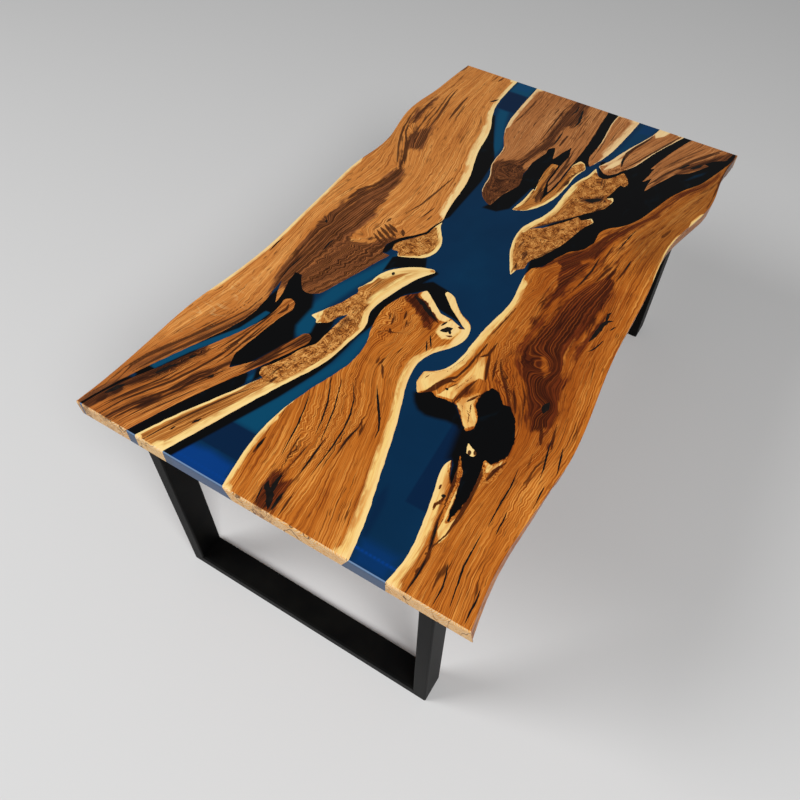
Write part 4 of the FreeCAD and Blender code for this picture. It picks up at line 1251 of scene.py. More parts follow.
def closedResin(rims, rows):
    # the casting takes the very edges of the boards, so the seam is closed above, below and at the ends
    columns, full, numberOf = [], [], {}
    edges = []
    for b, rim in enumerate(rims):
        first = len(columns)
        count = len(rim["points"])
        for k in range(count):
            numberOf[b, k] = len(columns)
            columns.append(np.array([row[k] for row in rows[b]]))
            full.append(rim["outer"][k] or rim["atEnd"][k])
        edges += [(first + k, first + (k + 1) % count) for k in range(count)]
    ends = set()
    for start, between, stop in endGaps(rims, rows):
        walk = [numberOf[start]]
        for column in between:
            walk.append(len(columns))
            columns.append(column)
            full.append(True)
        walk.append(numberOf[stop])
        edges += list(zip(walk[:-1], walk[1:]))
        ends |= {frozenset(pair) for pair in zip(walk[:-1], walk[1:])}
    columns = np.array(columns)
    fixed = {frozenset(pair) for pair in edges}
    verts, index, faces = [], {}, []
    long, wide = tabletop["end"] - castGrid["endGap"], castGrid["wide"]
    frameLoop = np.array([(-long, -wide), (long, -wide), (long, wide), (-long, wide)])

    def corner(r, c):
        if (r, c) not in index:
            index[r, c] = len(verts)
            verts.append(columns[c][r])
        return index[r, c]

    for r in (0, lastRow):
        level = tabletop["top"] - sideRows[r][0]
        loops = [rows[b][r][:, :2] for b in range(len(rims))]
        inner = gridInside(loops + [frameLoop], castGrid["step"] if r == 0 else castGrid["underStep"])
        castEdges = np.array([(a[1], b[1]) for a, b in rimEdges(resinName, level)])
        inner = inner[insideOf(inner, castEdges[:, 0], castEdges[:, 1])]
        found, triangles, origins = triangulated(np.vstack([columns[:, r, :2], inner]), edges)
        middles = np.array([found[list(t)].mean(0) for t in triangles])
        wooden = np.zeros(len(triangles), bool)
        for loop in loops:
            wooden |= insideOf(middles, loop)
        known = [[o for o in origin if o < len(columns)] for origin in origins]
        places = [numbers[0] if numbers else None for numbers in known]
        kept = castTriangles(found, triangles, wooden, places, fixed, castEdges)
        loose = {}

        def vertexOf(v):
            if places[v] is not None:
                return corner(r, places[v])
            if v not in loose:
                loose[v] = len(verts)
                verts.append(np.array([found[v][0], found[v][1], level]))
            return loose[v]

        used = {}
        for t in np.flatnonzero(kept):
            facing = triangles[t] if r == 0 else triangles[t][::-1]
            faces.append(tuple(vertexOf(v) for v in facing))
            used.update({pair: True for pair in cornersOf(triangles[t])})
        if r > 0:
            continue
        for a, b in used:
            if (b, a) in used or places[a] is None or places[b] is None:
                continue
            a, b = places[a], places[b]
            if frozenset((a, b)) in ends:
                for m in range(lastRow):
                    faces.append((corner(m, b), corner(m, a), corner(m + 1, a), corner(m + 1, b)))
            else:
                top = (corner(0, b), corner(0, a))
                down = [corner(m, a) for m in range(1, lastRow)] if full[a] else []
                up = [corner(m, b) for m in range(lastRow - 1, 0, -1)] if full[b] else []
                faces.append((*top, *down, corner(lastRow, a), corner(lastRow, b), *up))
    return np.array(verts), faces


# casting, with light and shade painted into its colour: teal is painted light coming through the pour, black
# is painted shade of the undercut board sides and the dark wood under the pour, the bright patches are
# painted light coming in at the sawn ends, navy is painted reflection and shade across it; each patch has its
# softness and strength, and one below 0 takes away
river = {
    "teal": [
        ([(-440, 165), (-420, 235), (-350, 248), (-250, 238), (-150, 195), (-60, 160), (-70, 140),
          (-130, 158), (-210, 185), (-330, 215), (-400, 165)], 14, 1),
        ([(-708, 118), (-708, 195), (-640, 165), (-560, 132), (-450, 98), (-350, 90), (-300, 80), (-200, 78),
          (-200, 60), (-330, 60), (-430, 55), (-540, 95), (-640, 112)], 14, 0.75),
        ([(-430, 60), (-300, 88), (-160, 76), (-60, 30), (40, 60), (150, 110), (240, 120), (240, 20),
          (140, -60), (0, -140), (-100, -140), (-100, 0), (-200, 80), (-300, 80)], 60, 0.22),
        ([(460, 140), (480, 158), (560, 192), (640, 225), (680, 235), (680, 205), (600, 178), (540, 150),
          (500, 138)], 12, 1),
        ([(786, 190), (850, 188), (850, 252), (786, 252)], 10, 1),
        ([(-690, 462), (-600, 424), (-540, 390), (-480, 356), (-395, 332), (-395, 314), (-480, 326),
          (-540, 360), (-600, 396), (-690, 432)], 5, 1),
        ([(-606, 240), (-560, 228), (-545, 210), (-575, 212)], 6, 0.9),
        ([(-425, 230), (-375, 240), (-375, 205), (-415, 205)], 10, 0.8),
        ([(600, -146), (700, -165), (850, -172), (850, -232), (800, -222), (700, -188)], 8, 0.35),
        ([(640, -372), (690, -392), (735, -428), (700, -420), (650, -388)], 12, 0.75)],
    # painted shade: black where the pour looks onto the shaded, undercut sides of the boards and the dark
    # wood below
    "shadeBlack": [
        ([(-860, 272), (-700, 211), (-550, 151), (-450, 112), (-400, 105), (-350, 98), (-300, 96),
          (-270, 110), (-215, 105), (-105, 70), (-55, 42), (-60, 32), (-100, 46), (-150, 64), (-200, 79),
          (-250, 86), (-300, 80), (-350, 91), (-400, 94), (-450, 99), (-500, 111), (-600, 144), (-650, 164),
          (-750, 204), (-860, 250)], 6, 1),
        ([(120, 130), (230, 146), (340, 160), (460, 196), (560, 210), (640, 245), (640, 232), (560, 194),
          (500, 164), (470, 146), (440, 131), (400, 124), (330, 116), (230, 117), (150, 117)], 6, 1),
        ([(-610, 322), (-430, 330), (-345, 326), (-300, 355), (-225, 355), (-240, 335), (-285, 300),
          (-290, 262), (-330, 240), (-400, 240), (-440, 215), (-560, 262)], 12, 1),
        ([(-860, 376), (-700, 315), (-600, 266), (-575, 246), (-608, 232), (-660, 244), (-750, 292),
          (-860, 336)], 6, 1),
        ([(-600, 220), (-560, 236), (-470, 205), (-420, 205), (-400, 195), (-360, 205), (-330, 170),
          (-420, 140), (-500, 195)], 7, 0.9),
        ([(-860, 540), (-800, 520), (-690, 478), (-560, 430), (-400, 362), (-300, 345), (-300, 320),
          (-395, 318), (-470, 318), (-560, 366), (-690, 432), (-860, 500)], 7, 1),
        ([(-684, 456), (-600, 420), (-540, 386), (-480, 351), (-400, 331), (-400, 317), (-480, 330),
          (-540, 364), (-600, 400), (-684, 438)], 5, -1),
        ([(-736, 474), (-722, 474), (-716, 462), (-730, 460)], 4, -0.9),
        ([(-424, -112), (-446, -127), (-460, -144), (-465, -166), (-460, -190), (-453, -214), (-452, -240),
          (-470, -258), (-440, -250), (-394, -200), (-396, -140)], 11, 1),
        ([(-700, -352), (-640, -326), (-560, -312), (-528, -296), (-500, -270), (-440, -250), (-400, -255),
          (-370, -240), (-318, -240), (-300, -260), (-320, -310), (-380, -372), (-460, -392),
          (-560, -356)], 7, 1),
        ([(-540, -262), (-440, -240), (-440, -290), (-540, -300)], 16, 0.75),
        ([(-660, -318), (-600, -298), (-546, -284), (-520, -266), (-490, -276), (-530, -302),
          (-600, -324)], 6, 1),
        ([(40, -165), (112, -146), (210, -168), (262, -126), (300, -150), (345, -178), (400, -190),
          (470, -190), (560, -200), (600, -190), (640, -215), (700, -240), (870, -306), (870, -475),
          (740, -462), (540, -382), (365, -312), (225, -262), (87, -170)], 8, 1),
        ([(225, -82), (260, -118), (330, -170), (350, -200), (372, -196), (330, -156), (250, -100)], 7, 1),
        ([(640, -372), (690, -392), (735, -428), (700, -420), (650, -388)], 12, -0.6),
        ([(232, 60), (262, 48), (330, 40), (386, 26), (560, 34), (640, 12), (640, -22), (400, -22),
          (268, -6), (238, 20)], 7, 1),
        ([(380, -16), (480, -8), (640, -26), (640, -50), (560, -76), (350, -78), (340, -66), (400, -50),
          (386, -36)], 7, 1),
        ([(540, -68), (580, -70), (870, -56), (870, -102), (670, -110), (560, -118)], 7, 1),
        ([(525, -165), (560, -150), (600, -140), (610, -150), (570, -170), (560, -190), (600, -215),
          (570, -215), (530, -190)], 5, 1),
        ([(-128, 160), (-70, 166), (-55, 152), (-25, 88), (-62, 70), (-78, 105), (-102, 142)], 5, 1),
        ([(-70, 208), (0, 200), (70, 148), (125, 134), (125, 122), (60, 128), (0, 176), (-66, 190)], 6, 1),
        ([(-230, 90), (-160, 92), (-120, 60), (-92, 30), (-100, -20), (-150, -70), (-192, -122), (-178, -90),
          (-168, -30), (-130, 30), (-170, 66)], 5, 0.9)],
    # painted light: brighter blue where light comes in at the sawn ends, with thin bright lines along them
    "paintedLight": [
        ([(-860, 95), (-860, 275), (-800, 250), (-785, 180), (-790, 108)], 16, 0.7),
        ([(-836, 90), (-830, 90), (-830, 250), (-836, 250)], 4, 1),
        ([(-860, -215), (-860, -310), (-780, -310), (-780, -200)], 22, 0.45),
        ([(-820, -200), (-814, -200), (-814, -312), (-820, -312)], 4, 0.95),
        ([(800, 195), (855, 192), (855, 254), (800, 254)], 10, 0.35),
        ([(785, -176), (855, -178), (855, -232), (795, -218)], 8, 0.35)],
    # painted reflection and shade: darker navy where dark surroundings are mirrored in the pour and beside
    # the bright sawn ends
    "shadeAndReflection": [
        ([(-782, 106), (-782, 246), (-708, 216), (-708, 114)], 4, 1),
        ([(-800, -205), (-700, -180), (-650, -190), (-700, -215), (-790, -225)], 10, 0.6),
        ([(-677, -242), (-450, -230), (-450, -262), (-560, -285), (-677, -295)], 5, 0.9),
        ([(684, 182), (782, 184), (782, 260), (684, 248)], 7, 1)],
}


# painted light and shade: the painted navy reflection and shade hide part of the painted teal light
shadeAndReflectionOverTeal = 0.8   # how much of the teal is hidden where navy lies over it


def castingFigure(verts):
    # how much teal, black and bright blue the casting shows, all of it painted light and shade, and where its
    # sawn ends are
    xy = verts[:, :2]
    values = {}
    for kind, patches in river.items():
        shown = np.zeros(len(verts))
        for patch, soft, strength in patches:
            value = strength * softPatch(xy, patch, soft)
            shown = np.maximum(shown, value) if strength > 0 else np.clip(shown + value, 0, 1)
        values[kind] = shown
    teal = values["teal"] * (1 - shadeAndReflectionOverTeal * values["shadeAndReflection"])
    # the depth attribute holds these painted light and shade masks, not the depth of the pour
    depth = np.stack([teal, values["shadeBlack"], values["paintedLight"]], 1)
    side = np.stack([onSawnEnd(verts).astype(float), values["shadeAndReflection"], tabletop["top"] - verts[:, 2]], 1)
    return {"depth": depth, "side": side}


# small helpers for the materials
def newNode(tree, kind, **values):
    node = tree.nodes.new(kind)
    for key, value in values.items():
        setattr(node, key, value)
    return node


def feed(tree, node, values):
    # links sockets and sets plain values, by the names or numbers of the node's inputs
    for key, value in values.items():
        if isinstance(value, bpy.types.NodeSocket):
            tree.links.new(value, node.inputs[key])
        else:
            node.inputs[key].default_value = value


def calc(tree, operation, a, b=0.0, c=0.0):
    node = newNode(tree, "ShaderNodeMath", operation=operation)
    feed(tree, node, {0: a, 1: b, 2: c})
    return node.outputs[0]


def stretched(tree, vector, scale):
    node = newNode(tree, "ShaderNodeVectorMath", operation="MULTIPLY")
    feed(tree, node, {0: vector, 1: scale})
    return node.outputs[0]


def cloud(tree, vector, scale=1.0, detail=2.0, distortion=0.0, roughness=0.5):
    node = newNode(tree, "ShaderNodeTexNoise")
    feed(tree, node, {"Vector": vector, "Scale": scale, "Detail": detail, "Distortion": distortion,
                      "Roughness": roughness})
    return node.outputs["Fac"]


def attribute(tree, name):
    node = newNode(tree, "ShaderNodeAttribute", attribute_name=name)
    parts = newNode(tree, "ShaderNodeSeparateXYZ")
    feed(tree, parts, {0: node.outputs["Vector"]})
    return node.outputs["Vector"], parts.outputs


def objectPlace(tree):
    return newNode(tree, "ShaderNodeTexCoord").outputs["Object"]


def toolsFor(tree):
    # the commonest nodes of one tree, under short names
    def plus(a, b):
        return calc(tree, "ADD", a, b)

    def times(a, b):
        return calc(tree, "MULTIPLY", a, b)

    def scaled(value, gain, offset):
        return calc(tree, "MULTIPLY_ADD", value, gain, offset)

    def swung(value, gain):
        return scaled(value, gain, -gain / 2)   # noise about zero

    def ramp(value, low, high, toLow=0.0, toHigh=1.0):
        node = newNode(tree, "ShaderNodeMapRange", interpolation_type="SMOOTHSTEP")
        feed(tree, node, {0: value, 1: low, 2: high, 3: toLow, 4: toHigh})
        return node.outputs[0]

    def mix(factor, a, b, mode="MIX"):
        node = newNode(tree, "ShaderNodeMix", data_type="RGBA", blend_type=mode)
        feed(tree, node, {0: factor, 6: a, 7: b})
        return node.outputs[2]

    return plus, times, scaled, swung, ramp, mix


def newGroup(name, inputs, outputs):
    tree = bpy.data.node_groups.new(name, "ShaderNodeTree")
    for label, kind in inputs:
        tree.interface.new_socket(name=label, in_out="INPUT", socket_type=kind)
    for label, kind in outputs:
        tree.interface.new_socket(name=label, in_out="OUTPUT", socket_type=kind)
    entry = tree.nodes.new("NodeGroupInput")
    leave = tree.nodes.new("NodeGroupOutput")
    return tree, entry.outputs, leave


def newMaterial(name):
    material = bpy.data.materials.new(name)
    material.use_nodes = True
    tree = material.node_tree
    return material, tree, tree.nodes["Principled BSDF"]


def bumped(tree, shader, height, strength, distance):
    node = newNode(tree, "ShaderNodeBump")
    feed(tree, node, {"Strength": strength, "Distance": distance, "Height": height})
    feed(tree, shader, {"Normal": node.outputs["Normal"]})


# noise in the wood: scales along and across the grain, detail and roughness
woodLayers = {
    "drift": (2.4, 16, 1, 0.5), "jitter": (15, 45, 1, 0.5), "curl": (68, 30, 1.5, 0.5),
    "slow": (3.2, 22, 2, 0.5), "bands": (1.6, 130, 3, 0.62), "lines": (5, 330, 2, 0.6),
    "fine": (6, 520, 1, 0.6), "torn": (16, 62, 3, 0.6), "fibre": (15, 1100, 1, 0.5),
    "pores": (34, 760, 0, 0.5), "murk": (48, 60, 3, 0.6), "course": (11, 7, 2, 0.5),
    "check": (2.6, 70, 0, 0.5), "checked": (7, 32, 0, 0.5),
}
# parts of the figure: a pair or four is a ramp, from where to where, and from how much to how much
plainGrain = {"drift": 0.020, "jitter": 0.006, "curl": 0.026, "slow": 0.55, "bands": 0.7, "lines": 1.15,
              "fine": 0.5, "curlRings": 0.13, "rings": (0.36, 0.62, 0.01, 0.08), "pale": (-0.02, 0.36),
              "deep": (0.0, -0.36), "ruddyAndSheen": (0.0, 1.0), "sheenGrey": (0.0, -1.0),
              "ruddyTint": (0.66, 0.50, 0.34, 1), "sheenTint": (0.72, 0.79, 0.98, 1)}
burlGrain = {"swirlScale": (34, 42, 42), "twist": 1.4, "contours": 58.0, "contour": 0.22, "murk": 1.5,
             "pale": (-0.05, 0.36), "deep": (0.02, -0.38), "line": (-0.55, -0.98), "lined": (0.62, 0.42),
             "eyeScale": (62, 78, 78), "eye": (0.26, 0.08), "eyed": (0.46, 0.58), "eyeDepth": 0.85,
             "torn": 0.5, "border": 0.25, "share": (0.3, 0.7)}
darkHeart = {"bands": 1.3, "lines": 0.7, "torn": 1.3, "figure": 1.7, "middle": 0.40, "rings": 0.17,
             "ripped": 0.5, "burl": 1.3, "burlMiddle": 0.42, "pale": (0.08, 0.85),
             "mid": (0.72, 1.15, 0.0, 0.5), "glint": (0.84, 0.99), "glintLines": (0.44, 0.6),
             "glintDepth": 0.42, "frayed": 0.8, "share": (0.30, 0.66), "drawn": (0.0, 0.14)}
darkStreak = {"frayed": 0.6, "ripped": 0.8, "share": (0.26, 0.78), "drawn": (0.0, 0.2), "depth": 0.94,
              "dark": 0.8}
paleSap = {"bands": 1.6, "middle": -0.62, "lines": 1.0, "lined": (0.3, -0.22, 0.0, 0.7),
           "torn": (0.50, 0.68, 0.0, 0.38), "creamAndHighlight": (0.66, 1.0, 0.0, 0.4),
           "creamHighlightTint": (0.93, 0.72, 0.36, 1), "chips": (0.44, 0.60), "chipped": (0.86, 0.52),
           "chipDepth": 0.7, "frayed": 0.16, "ripped": 0.22, "share": (0.42, 0.58), "drawn": (0.05, 0.25),
           "streaked": (0.8, 0.3)}
crossFleck = {"courses": 16.0, "course": (0.16, 0.03), "torn": (0.46, 0.62), "strength": 0.22}
hairCheck = {"line": (0.024, 0.007), "patch": (0.54, 0.62), "offSap": (0.45, 0.1)}
sawnEnd = {"ringSpan": 0.085, "pith": 0.03, "rings": 1150.0, "ringDepth": 0.20, "bands": 0.9,
           "pale": (-0.3, 0.3), "paleSap": 0.35, "tint": (0.80, 0.60, 0.36, 1),
           "mid": (0.46, 0.3, 0.0, 0.45), "dryScale": (1, 20, 11), "dry": (0.009, 0.003, 0.0, 0.8),
           "heart": 0.7, "share": 0.94, "rough": 0.25}
openPores = {"fibre": (0.38, 0.7, 0.0, 0.25), "pores": (0.60, 0.70), "fine": (0.4, 0.58), "depth": 0.7,
             "inSap": 0.85, "smooth": 0.26, "rough": 0.12, "relief": 0.35}


def woodGroup():
    colours = ["Pale", "Mid", "Deep", "Sap", "Dark", "DarkPale"]
    inputs = [(colour, "NodeSocketColor") for colour in colours] + [("Rings", "NodeSocketFloat")]
    outputs = [("Color", "NodeSocketColor"), ("Roughness", "NodeSocketFloat"), ("Height", "NodeSocketFloat")]
    tree, put, leave = newGroup("woodFigure", inputs, outputs)
    plus, times, scaled, swung, ramp, mix = toolsFor(tree)
    pale, mid, deep, sap, dark, darkPale = [put[colour] for colour in colours]
    drawn, (along, side, depth) = attribute(tree, "grain")
    _, (drawnSap, drawnDark, drawnBurl) = attribute(tree, "tone")
    _, (drawnStreak, drawnFleck, ended) = attribute(tree, "mark")
    _, (curl, checks, ruddyAndSheen) = attribute(tree, "wave")

    def layer(name, vector):
        lengthwise, across, detail, roughness = woodLayers[name]
        scale = (lengthwise, across, across)
        return cloud(tree, stretched(tree, vector, scale), detail=detail, roughness=roughness)

    def minus(a, b):
        return calc(tree, "SUBTRACT", a, b)

    def fromHalf(value):
        return calc(tree, "ABSOLUTE", minus(value, 0.5))

    # the grain wanders a little everywhere and curls in short waves where that is drawn
    for name in ("drift", "jitter"):
        side = scaled(layer(name, drawn), plainGrain[name], side)
    side = plus(side, times(swung(layer("curl", drawn), plainGrain["curl"]), curl))
    joined = newNode(tree, "ShaderNodeCombineXYZ")
    feed(tree, joined, {0: along, 1: side, 2: depth})
    grain = joined.outputs[0]
    names = ("slow", "bands", "lines", "fine", "torn", "fibre", "pores", "murk")
    slow, bands, lines, fine, torn, fibre, pores, murk = [layer(name, grain) for name in names]
    swing = calc(tree, "SINE", times(side, put["Rings"]))
    ringed = times(swing, scaled(curl, plainGrain["curlRings"], ramp(slow, *plainGrain["rings"])))
    figure = plus(swung(slow, plainGrain["slow"]), swung(bands, plainGrain["bands"]))
    figure = plus(figure, swung(lines, plainGrain["lines"]))
    figure = plus(figure, swung(fine, plainGrain["fine"]))
    figure = plus(figure, ringed)
    color = mix(ramp(figure, *plainGrain["pale"]), mid, pale)
    color = mix(ramp(figure, *plainGrain["deep"]), color, deep)

    # burl: contour lines of a swirling field, darker clouds and small eyes
    swirled = stretched(tree, grain, burlGrain["swirlScale"])
    swirl = cloud(tree, swirled, detail=2, distortion=burlGrain["twist"])
    contour = calc(tree, "SINE", times(swirl, burlGrain["contours"]))
    eyes = newNode(tree, "ShaderNodeTexVoronoi")
    feed(tree, eyes, {"Vector": stretched(tree, grain, burlGrain["eyeScale"]), "Scale": 1.0})
    eye = times(ramp(eyes.outputs["Distance"], *burlGrain["eye"]), ramp(murk, *burlGrain["eyed"]))
    burled = plus(times(contour, burlGrain["contour"]), swung(murk, burlGrain["murk"]))
    knotty = mix(ramp(burled, *burlGrain["pale"]), mid, pale)
    knotty = mix(ramp(burled, *burlGrain["deep"]), knotty, deep)
    knotty = mix(times(ramp(contour, *burlGrain["line"]), ramp(murk, *burlGrain["lined"])), knotty, deep)
    knotty = mix(times(eye, burlGrain["eyeDepth"]), knotty, dark)
    inBurl = scaled(torn, burlGrain["torn"], minus(drawnBurl, burlGrain["border"]))
    inBurl = ramp(inBurl, *burlGrain["share"])
    color = mix(inBurl, color, knotty)
    # ruddy tone multiplied in, and below 0 a grey-blue tint that is painted sheen
    color = mix(ramp(ruddyAndSheen, *plainGrain["ruddyAndSheen"]), color, plainGrain["ruddyTint"], "MULTIPLY")
    color = mix(ramp(ruddyAndSheen, *plainGrain["sheenGrey"]), color, plainGrain["sheenTint"], "MULTIPLY")

    # dark heart with its own growth lines, its border torn along the grain
    frayed = plus(swung(bands, darkHeart["bands"]), swung(lines, darkHeart["lines"]))
    ripped = swung(torn, darkHeart["torn"])
    inside = plus(scaled(frayed, darkHeart["figure"], darkHeart["middle"]), times(swing, darkHeart["rings"]))
    inside = plus(inside, times(ripped, darkHeart["ripped"]))
    speckled = minus(scaled(burled, darkHeart["burl"], darkHeart["burlMiddle"]), inside)
    inside = plus(inside, times(speckled, inBurl))
    heart = mix(ramp(inside, *darkHeart["pale"]), dark, darkPale)
    heart = mix(ramp(inside, *darkHeart["mid"]), heart, mid)
    glint = times(ramp(swing, *darkHeart["glint"]), ramp(lines, *darkHeart["glintLines"]))
    heart = mix(times(glint, darkHeart["glintDepth"]), heart, mid)
    inHeart = plus(plus(drawnDark, times(frayed, darkHeart["frayed"])), ripped)
    inHeart = times(ramp(inHeart, *darkHeart["share"]), ramp(drawnDark, *darkHeart["drawn"]))
    color = mix(inHeart, color, heart)
    inStreak = plus(drawnStreak, times(frayed, darkStreak["frayed"]))
    inStreak = plus(inStreak, times(ripped, darkStreak["ripped"]))
    inStreak = times(ramp(inStreak, *darkStreak["share"]), ramp(drawnStreak, *darkStreak["drawn"]))
    color = mix(times(inStreak, darkStreak["depth"]), color, mix(darkStreak["dark"], heart, dark))

    # pale sapwood along the edges, creamier at the rim, where the cream is partly the sapwood's own colour
    # and partly a painted highlight of the live edge, browner and lined towards the heart
    lined = plus(scaled(bands, paleSap["bands"], paleSap["middle"]), swung(lines, paleSap["lines"]))
    sapWood = mix(ramp(lined, *paleSap["lined"]), sap, pale)
    sapWood = mix(ramp(torn, *paleSap["torn"]), sapWood, pale)
    # painted highlight in part: cream towards the live-edge rim, over the sapwood's own paler colour
    sapWood = mix(ramp(drawnSap, *paleSap["creamAndHighlight"]), sapWood, paleSap["creamHighlightTint"])
    chipped = times(ramp(drawnSap, *paleSap["chipped"]), ramp(torn, *paleSap["chips"]))
    sapWood = mix(times(chipped, paleSap["chipDepth"]), sapWood, mid)
    inSap = plus(plus(drawnSap, times(frayed, paleSap["frayed"])), times(ripped, paleSap["ripped"]))
    inSap = times(ramp(inSap, *paleSap["share"]), ramp(drawnSap, *paleSap["drawn"]))
    inSap = times(inSap, ramp(inStreak, *paleSap["streaked"]))
    color = mix(inSap, color, sapWood)

    # bright flecks that stand across the grain, and hairline checks along it
    course = calc(tree, "FRACT", times(layer("course", drawn), crossFleck["courses"]))
    fleck = times(ramp(fromHalf(course), *crossFleck["course"]), ramp(torn, *crossFleck["torn"]))
    color = mix(times(fleck, times(drawnFleck, crossFleck["strength"])), color, sap)
    split = ramp(fromHalf(layer("check", grain)), *hairCheck["line"])
    split = times(split, ramp(layer("checked", drawn), *hairCheck["patch"]))
    split = times(split, times(checks, ramp(drawnSap, *hairCheck["offSap"])))
    color = mix(split, color, dark)

    # sawn ends: paler, with arcs of the growth rings and drying checks
    arc = calc(tree, "PINGPONG", side, sawnEnd["ringSpan"])
    below = calc(tree, "POWER", scaled(depth, 1.0, sawnEnd["pith"]), 2.0)
    arc = calc(tree, "SQRT", plus(times(arc, arc), below))
    rings = calc(tree, "SINE", times(arc, sawnEnd["rings"]))
    rings = scaled(rings, sawnEnd["ringDepth"], swung(bands, sawnEnd["bands"]))
    sawn = mix(ramp(rings, *sawnEnd["pale"]), mix(sawnEnd["paleSap"], pale, sap), sawnEnd["tint"])
    sawn = mix(ramp(bands, *sawnEnd["mid"]), sawn, mid)
    dry = fromHalf(cloud(tree, stretched(tree, drawn, sawnEnd["dryScale"]), detail=2))
    sawn = mix(ramp(dry, *sawnEnd["dry"]), sawn, dark)
    sawn = mix(times(inHeart, sawnEnd["heart"]), sawn, heart)
    color = mix(times(ended, sawnEnd["share"]), color, sawn)

    # fibre and pores
    heartwood = minus(1.0, times(inSap, openPores["inSap"]))
    color = mix(times(ramp(fibre, *openPores["fibre"]), heartwood), color, deep)
    pore = times(times(ramp(pores, *openPores["pores"]), ramp(fine, *openPores["fine"])), heartwood)
    color = mix(times(pore, openPores["depth"]), color, dark)
    rough = plus(scaled(fibre, openPores["rough"], openPores["smooth"]), times(ended, sawnEnd["rough"]))
    height = minus(times(fibre, openPores["relief"]), calc(tree, "MAXIMUM", pore, split))
    feed(tree, leave, {"Color": color, "Roughness": rough, "Height": height})
    return tree


woodFinishes = {   # colours of each kind of board, sapwood and dark heart included, and its growth rings
    "warm": {"Pale": (0.76, 0.315, 0.060, 1), "Mid": (0.50, 0.140, 0.013, 1),
             "Deep": (0.20, 0.038, 0.003, 1), "Sap": (0.88, 0.60, 0.20, 1),
             "Dark": (0.024, 0.0035, 0.001, 1), "DarkPale": (0.15, 0.025, 0.004, 1), "Rings": 1250},
    "tan": {"Pale": (0.83, 0.39, 0.108, 1), "Mid": (0.60, 0.215, 0.043, 1), "Deep": (0.33, 0.095, 0.016, 1),
            "Sap": (0.90, 0.66, 0.29, 1), "Dark": (0.026, 0.007, 0.002, 1),
            "DarkPale": (0.24, 0.078, 0.025, 1), "Rings": 1300},
    "striped": {"Pale": (0.72, 0.30, 0.070, 1), "Mid": (0.46, 0.135, 0.021, 1),
                "Deep": (0.13, 0.031, 0.005, 1), "Sap": (0.86, 0.57, 0.21, 1),
                "Dark": (0.016, 0.004, 0.0015, 1), "DarkPale": (0.12, 0.034, 0.009, 1), "Rings": 1400},
    "burl": {"Pale": (0.80, 0.40, 0.110, 1), "Mid": (0.48, 0.165, 0.027, 1), "Deep": (0.14, 0.038, 0.006, 1),
             "Sap": (0.90, 0.65, 0.24, 1), "Dark": (0.022, 0.006, 0.002, 1),
             "DarkPale": (0.16, 0.050, 0.014, 1), "Rings": 1350},
    # far-end boards: their own tone, greyed and less saturated as painted sheen of the far end seen at a
    # grazing angle
    "far": {"Pale": (0.66, 0.30, 0.105, 1), "Mid": (0.43, 0.155, 0.043, 1), "Deep": (0.17, 0.051, 0.012, 1),
            "Sap": (0.84, 0.58, 0.28, 1), "Dark": (0.022, 0.006, 0.002, 1),
            "DarkPale": (0.16, 0.050, 0.015, 1), "Rings": 1350},
}
oiledWood = {"gloss": 0.24, "bump": (0.25, 0.0004)}   # strength and height of the bump
figureGroup = woodGroup()
woods = {}
for finish, values in woodFinishes.items():
    material, tree, shader = newMaterial(finish + "Wood")
    figured = newNode(tree, "ShaderNodeGroup", node_tree=figureGroup)
    feed(tree, figured, values)
    feed(tree, shader, {"Base Color": figured.outputs["Color"], "Roughness": figured.outputs["Roughness"],
                        "Specular IOR Level": oiledWood["gloss"]})
    bumped(tree, shader, figured.outputs["Height"], *oiledWood["bump"])
    woods[finish] = material
print("wood materials ready")

# colours of the casting: the teal, bright and glowing blues are painted light, navy is painted reflection and
# shade, black is painted shade, and the lighter blue of the sawn rim is a painted highlight
riverResin = {
    "deep": (0.0006, 0.0200, 0.058, 1), "blue": (0.0009, 0.0250, 0.072, 1),
    "teal": (0.0008, 0.056, 0.122, 1), "paintedLight": (0.0004, 0.040, 0.215, 1), "paintedGlow": (0.002, 0.10, 0.40, 1),
    "shadeAndReflection": (0.0005, 0.013, 0.046, 1), "shadeBlack": (0.0012, 0.0013, 0.0017, 1), "mist": (0.004, 0.07, 0.13, 1),
    "sawn": (0.045, 0.085, 0.165, 1), "sawnRimHighlight": (0.22, 0.34, 0.52, 1), "cloudScale": 5, "clouds": 0.3,
    "mistScale": (14, 30, 30), "smooth": 0.07, "sawnRough": 0.3, "gloss": 0.25,
}
resinRamps = {"blue": (0.3, 0.75), "teal": (0.10, 0.85), "paintedLight": (0.15, 0.9), "paintedGlow": (0.85, 1.0),
              "shadeAndReflection": (0.2, 0.8), "shadeBlack": (0.14, 0.74), "mist": (0.58, 0.8, 0.0, 0.06),
              "rim": (0.005, 0.001)}
resinShares = {"paintedLightClouds": 0.4, "shadeClouds": 0.6, "sawn": 0.8, "sawnRimHighlight": 0.6}


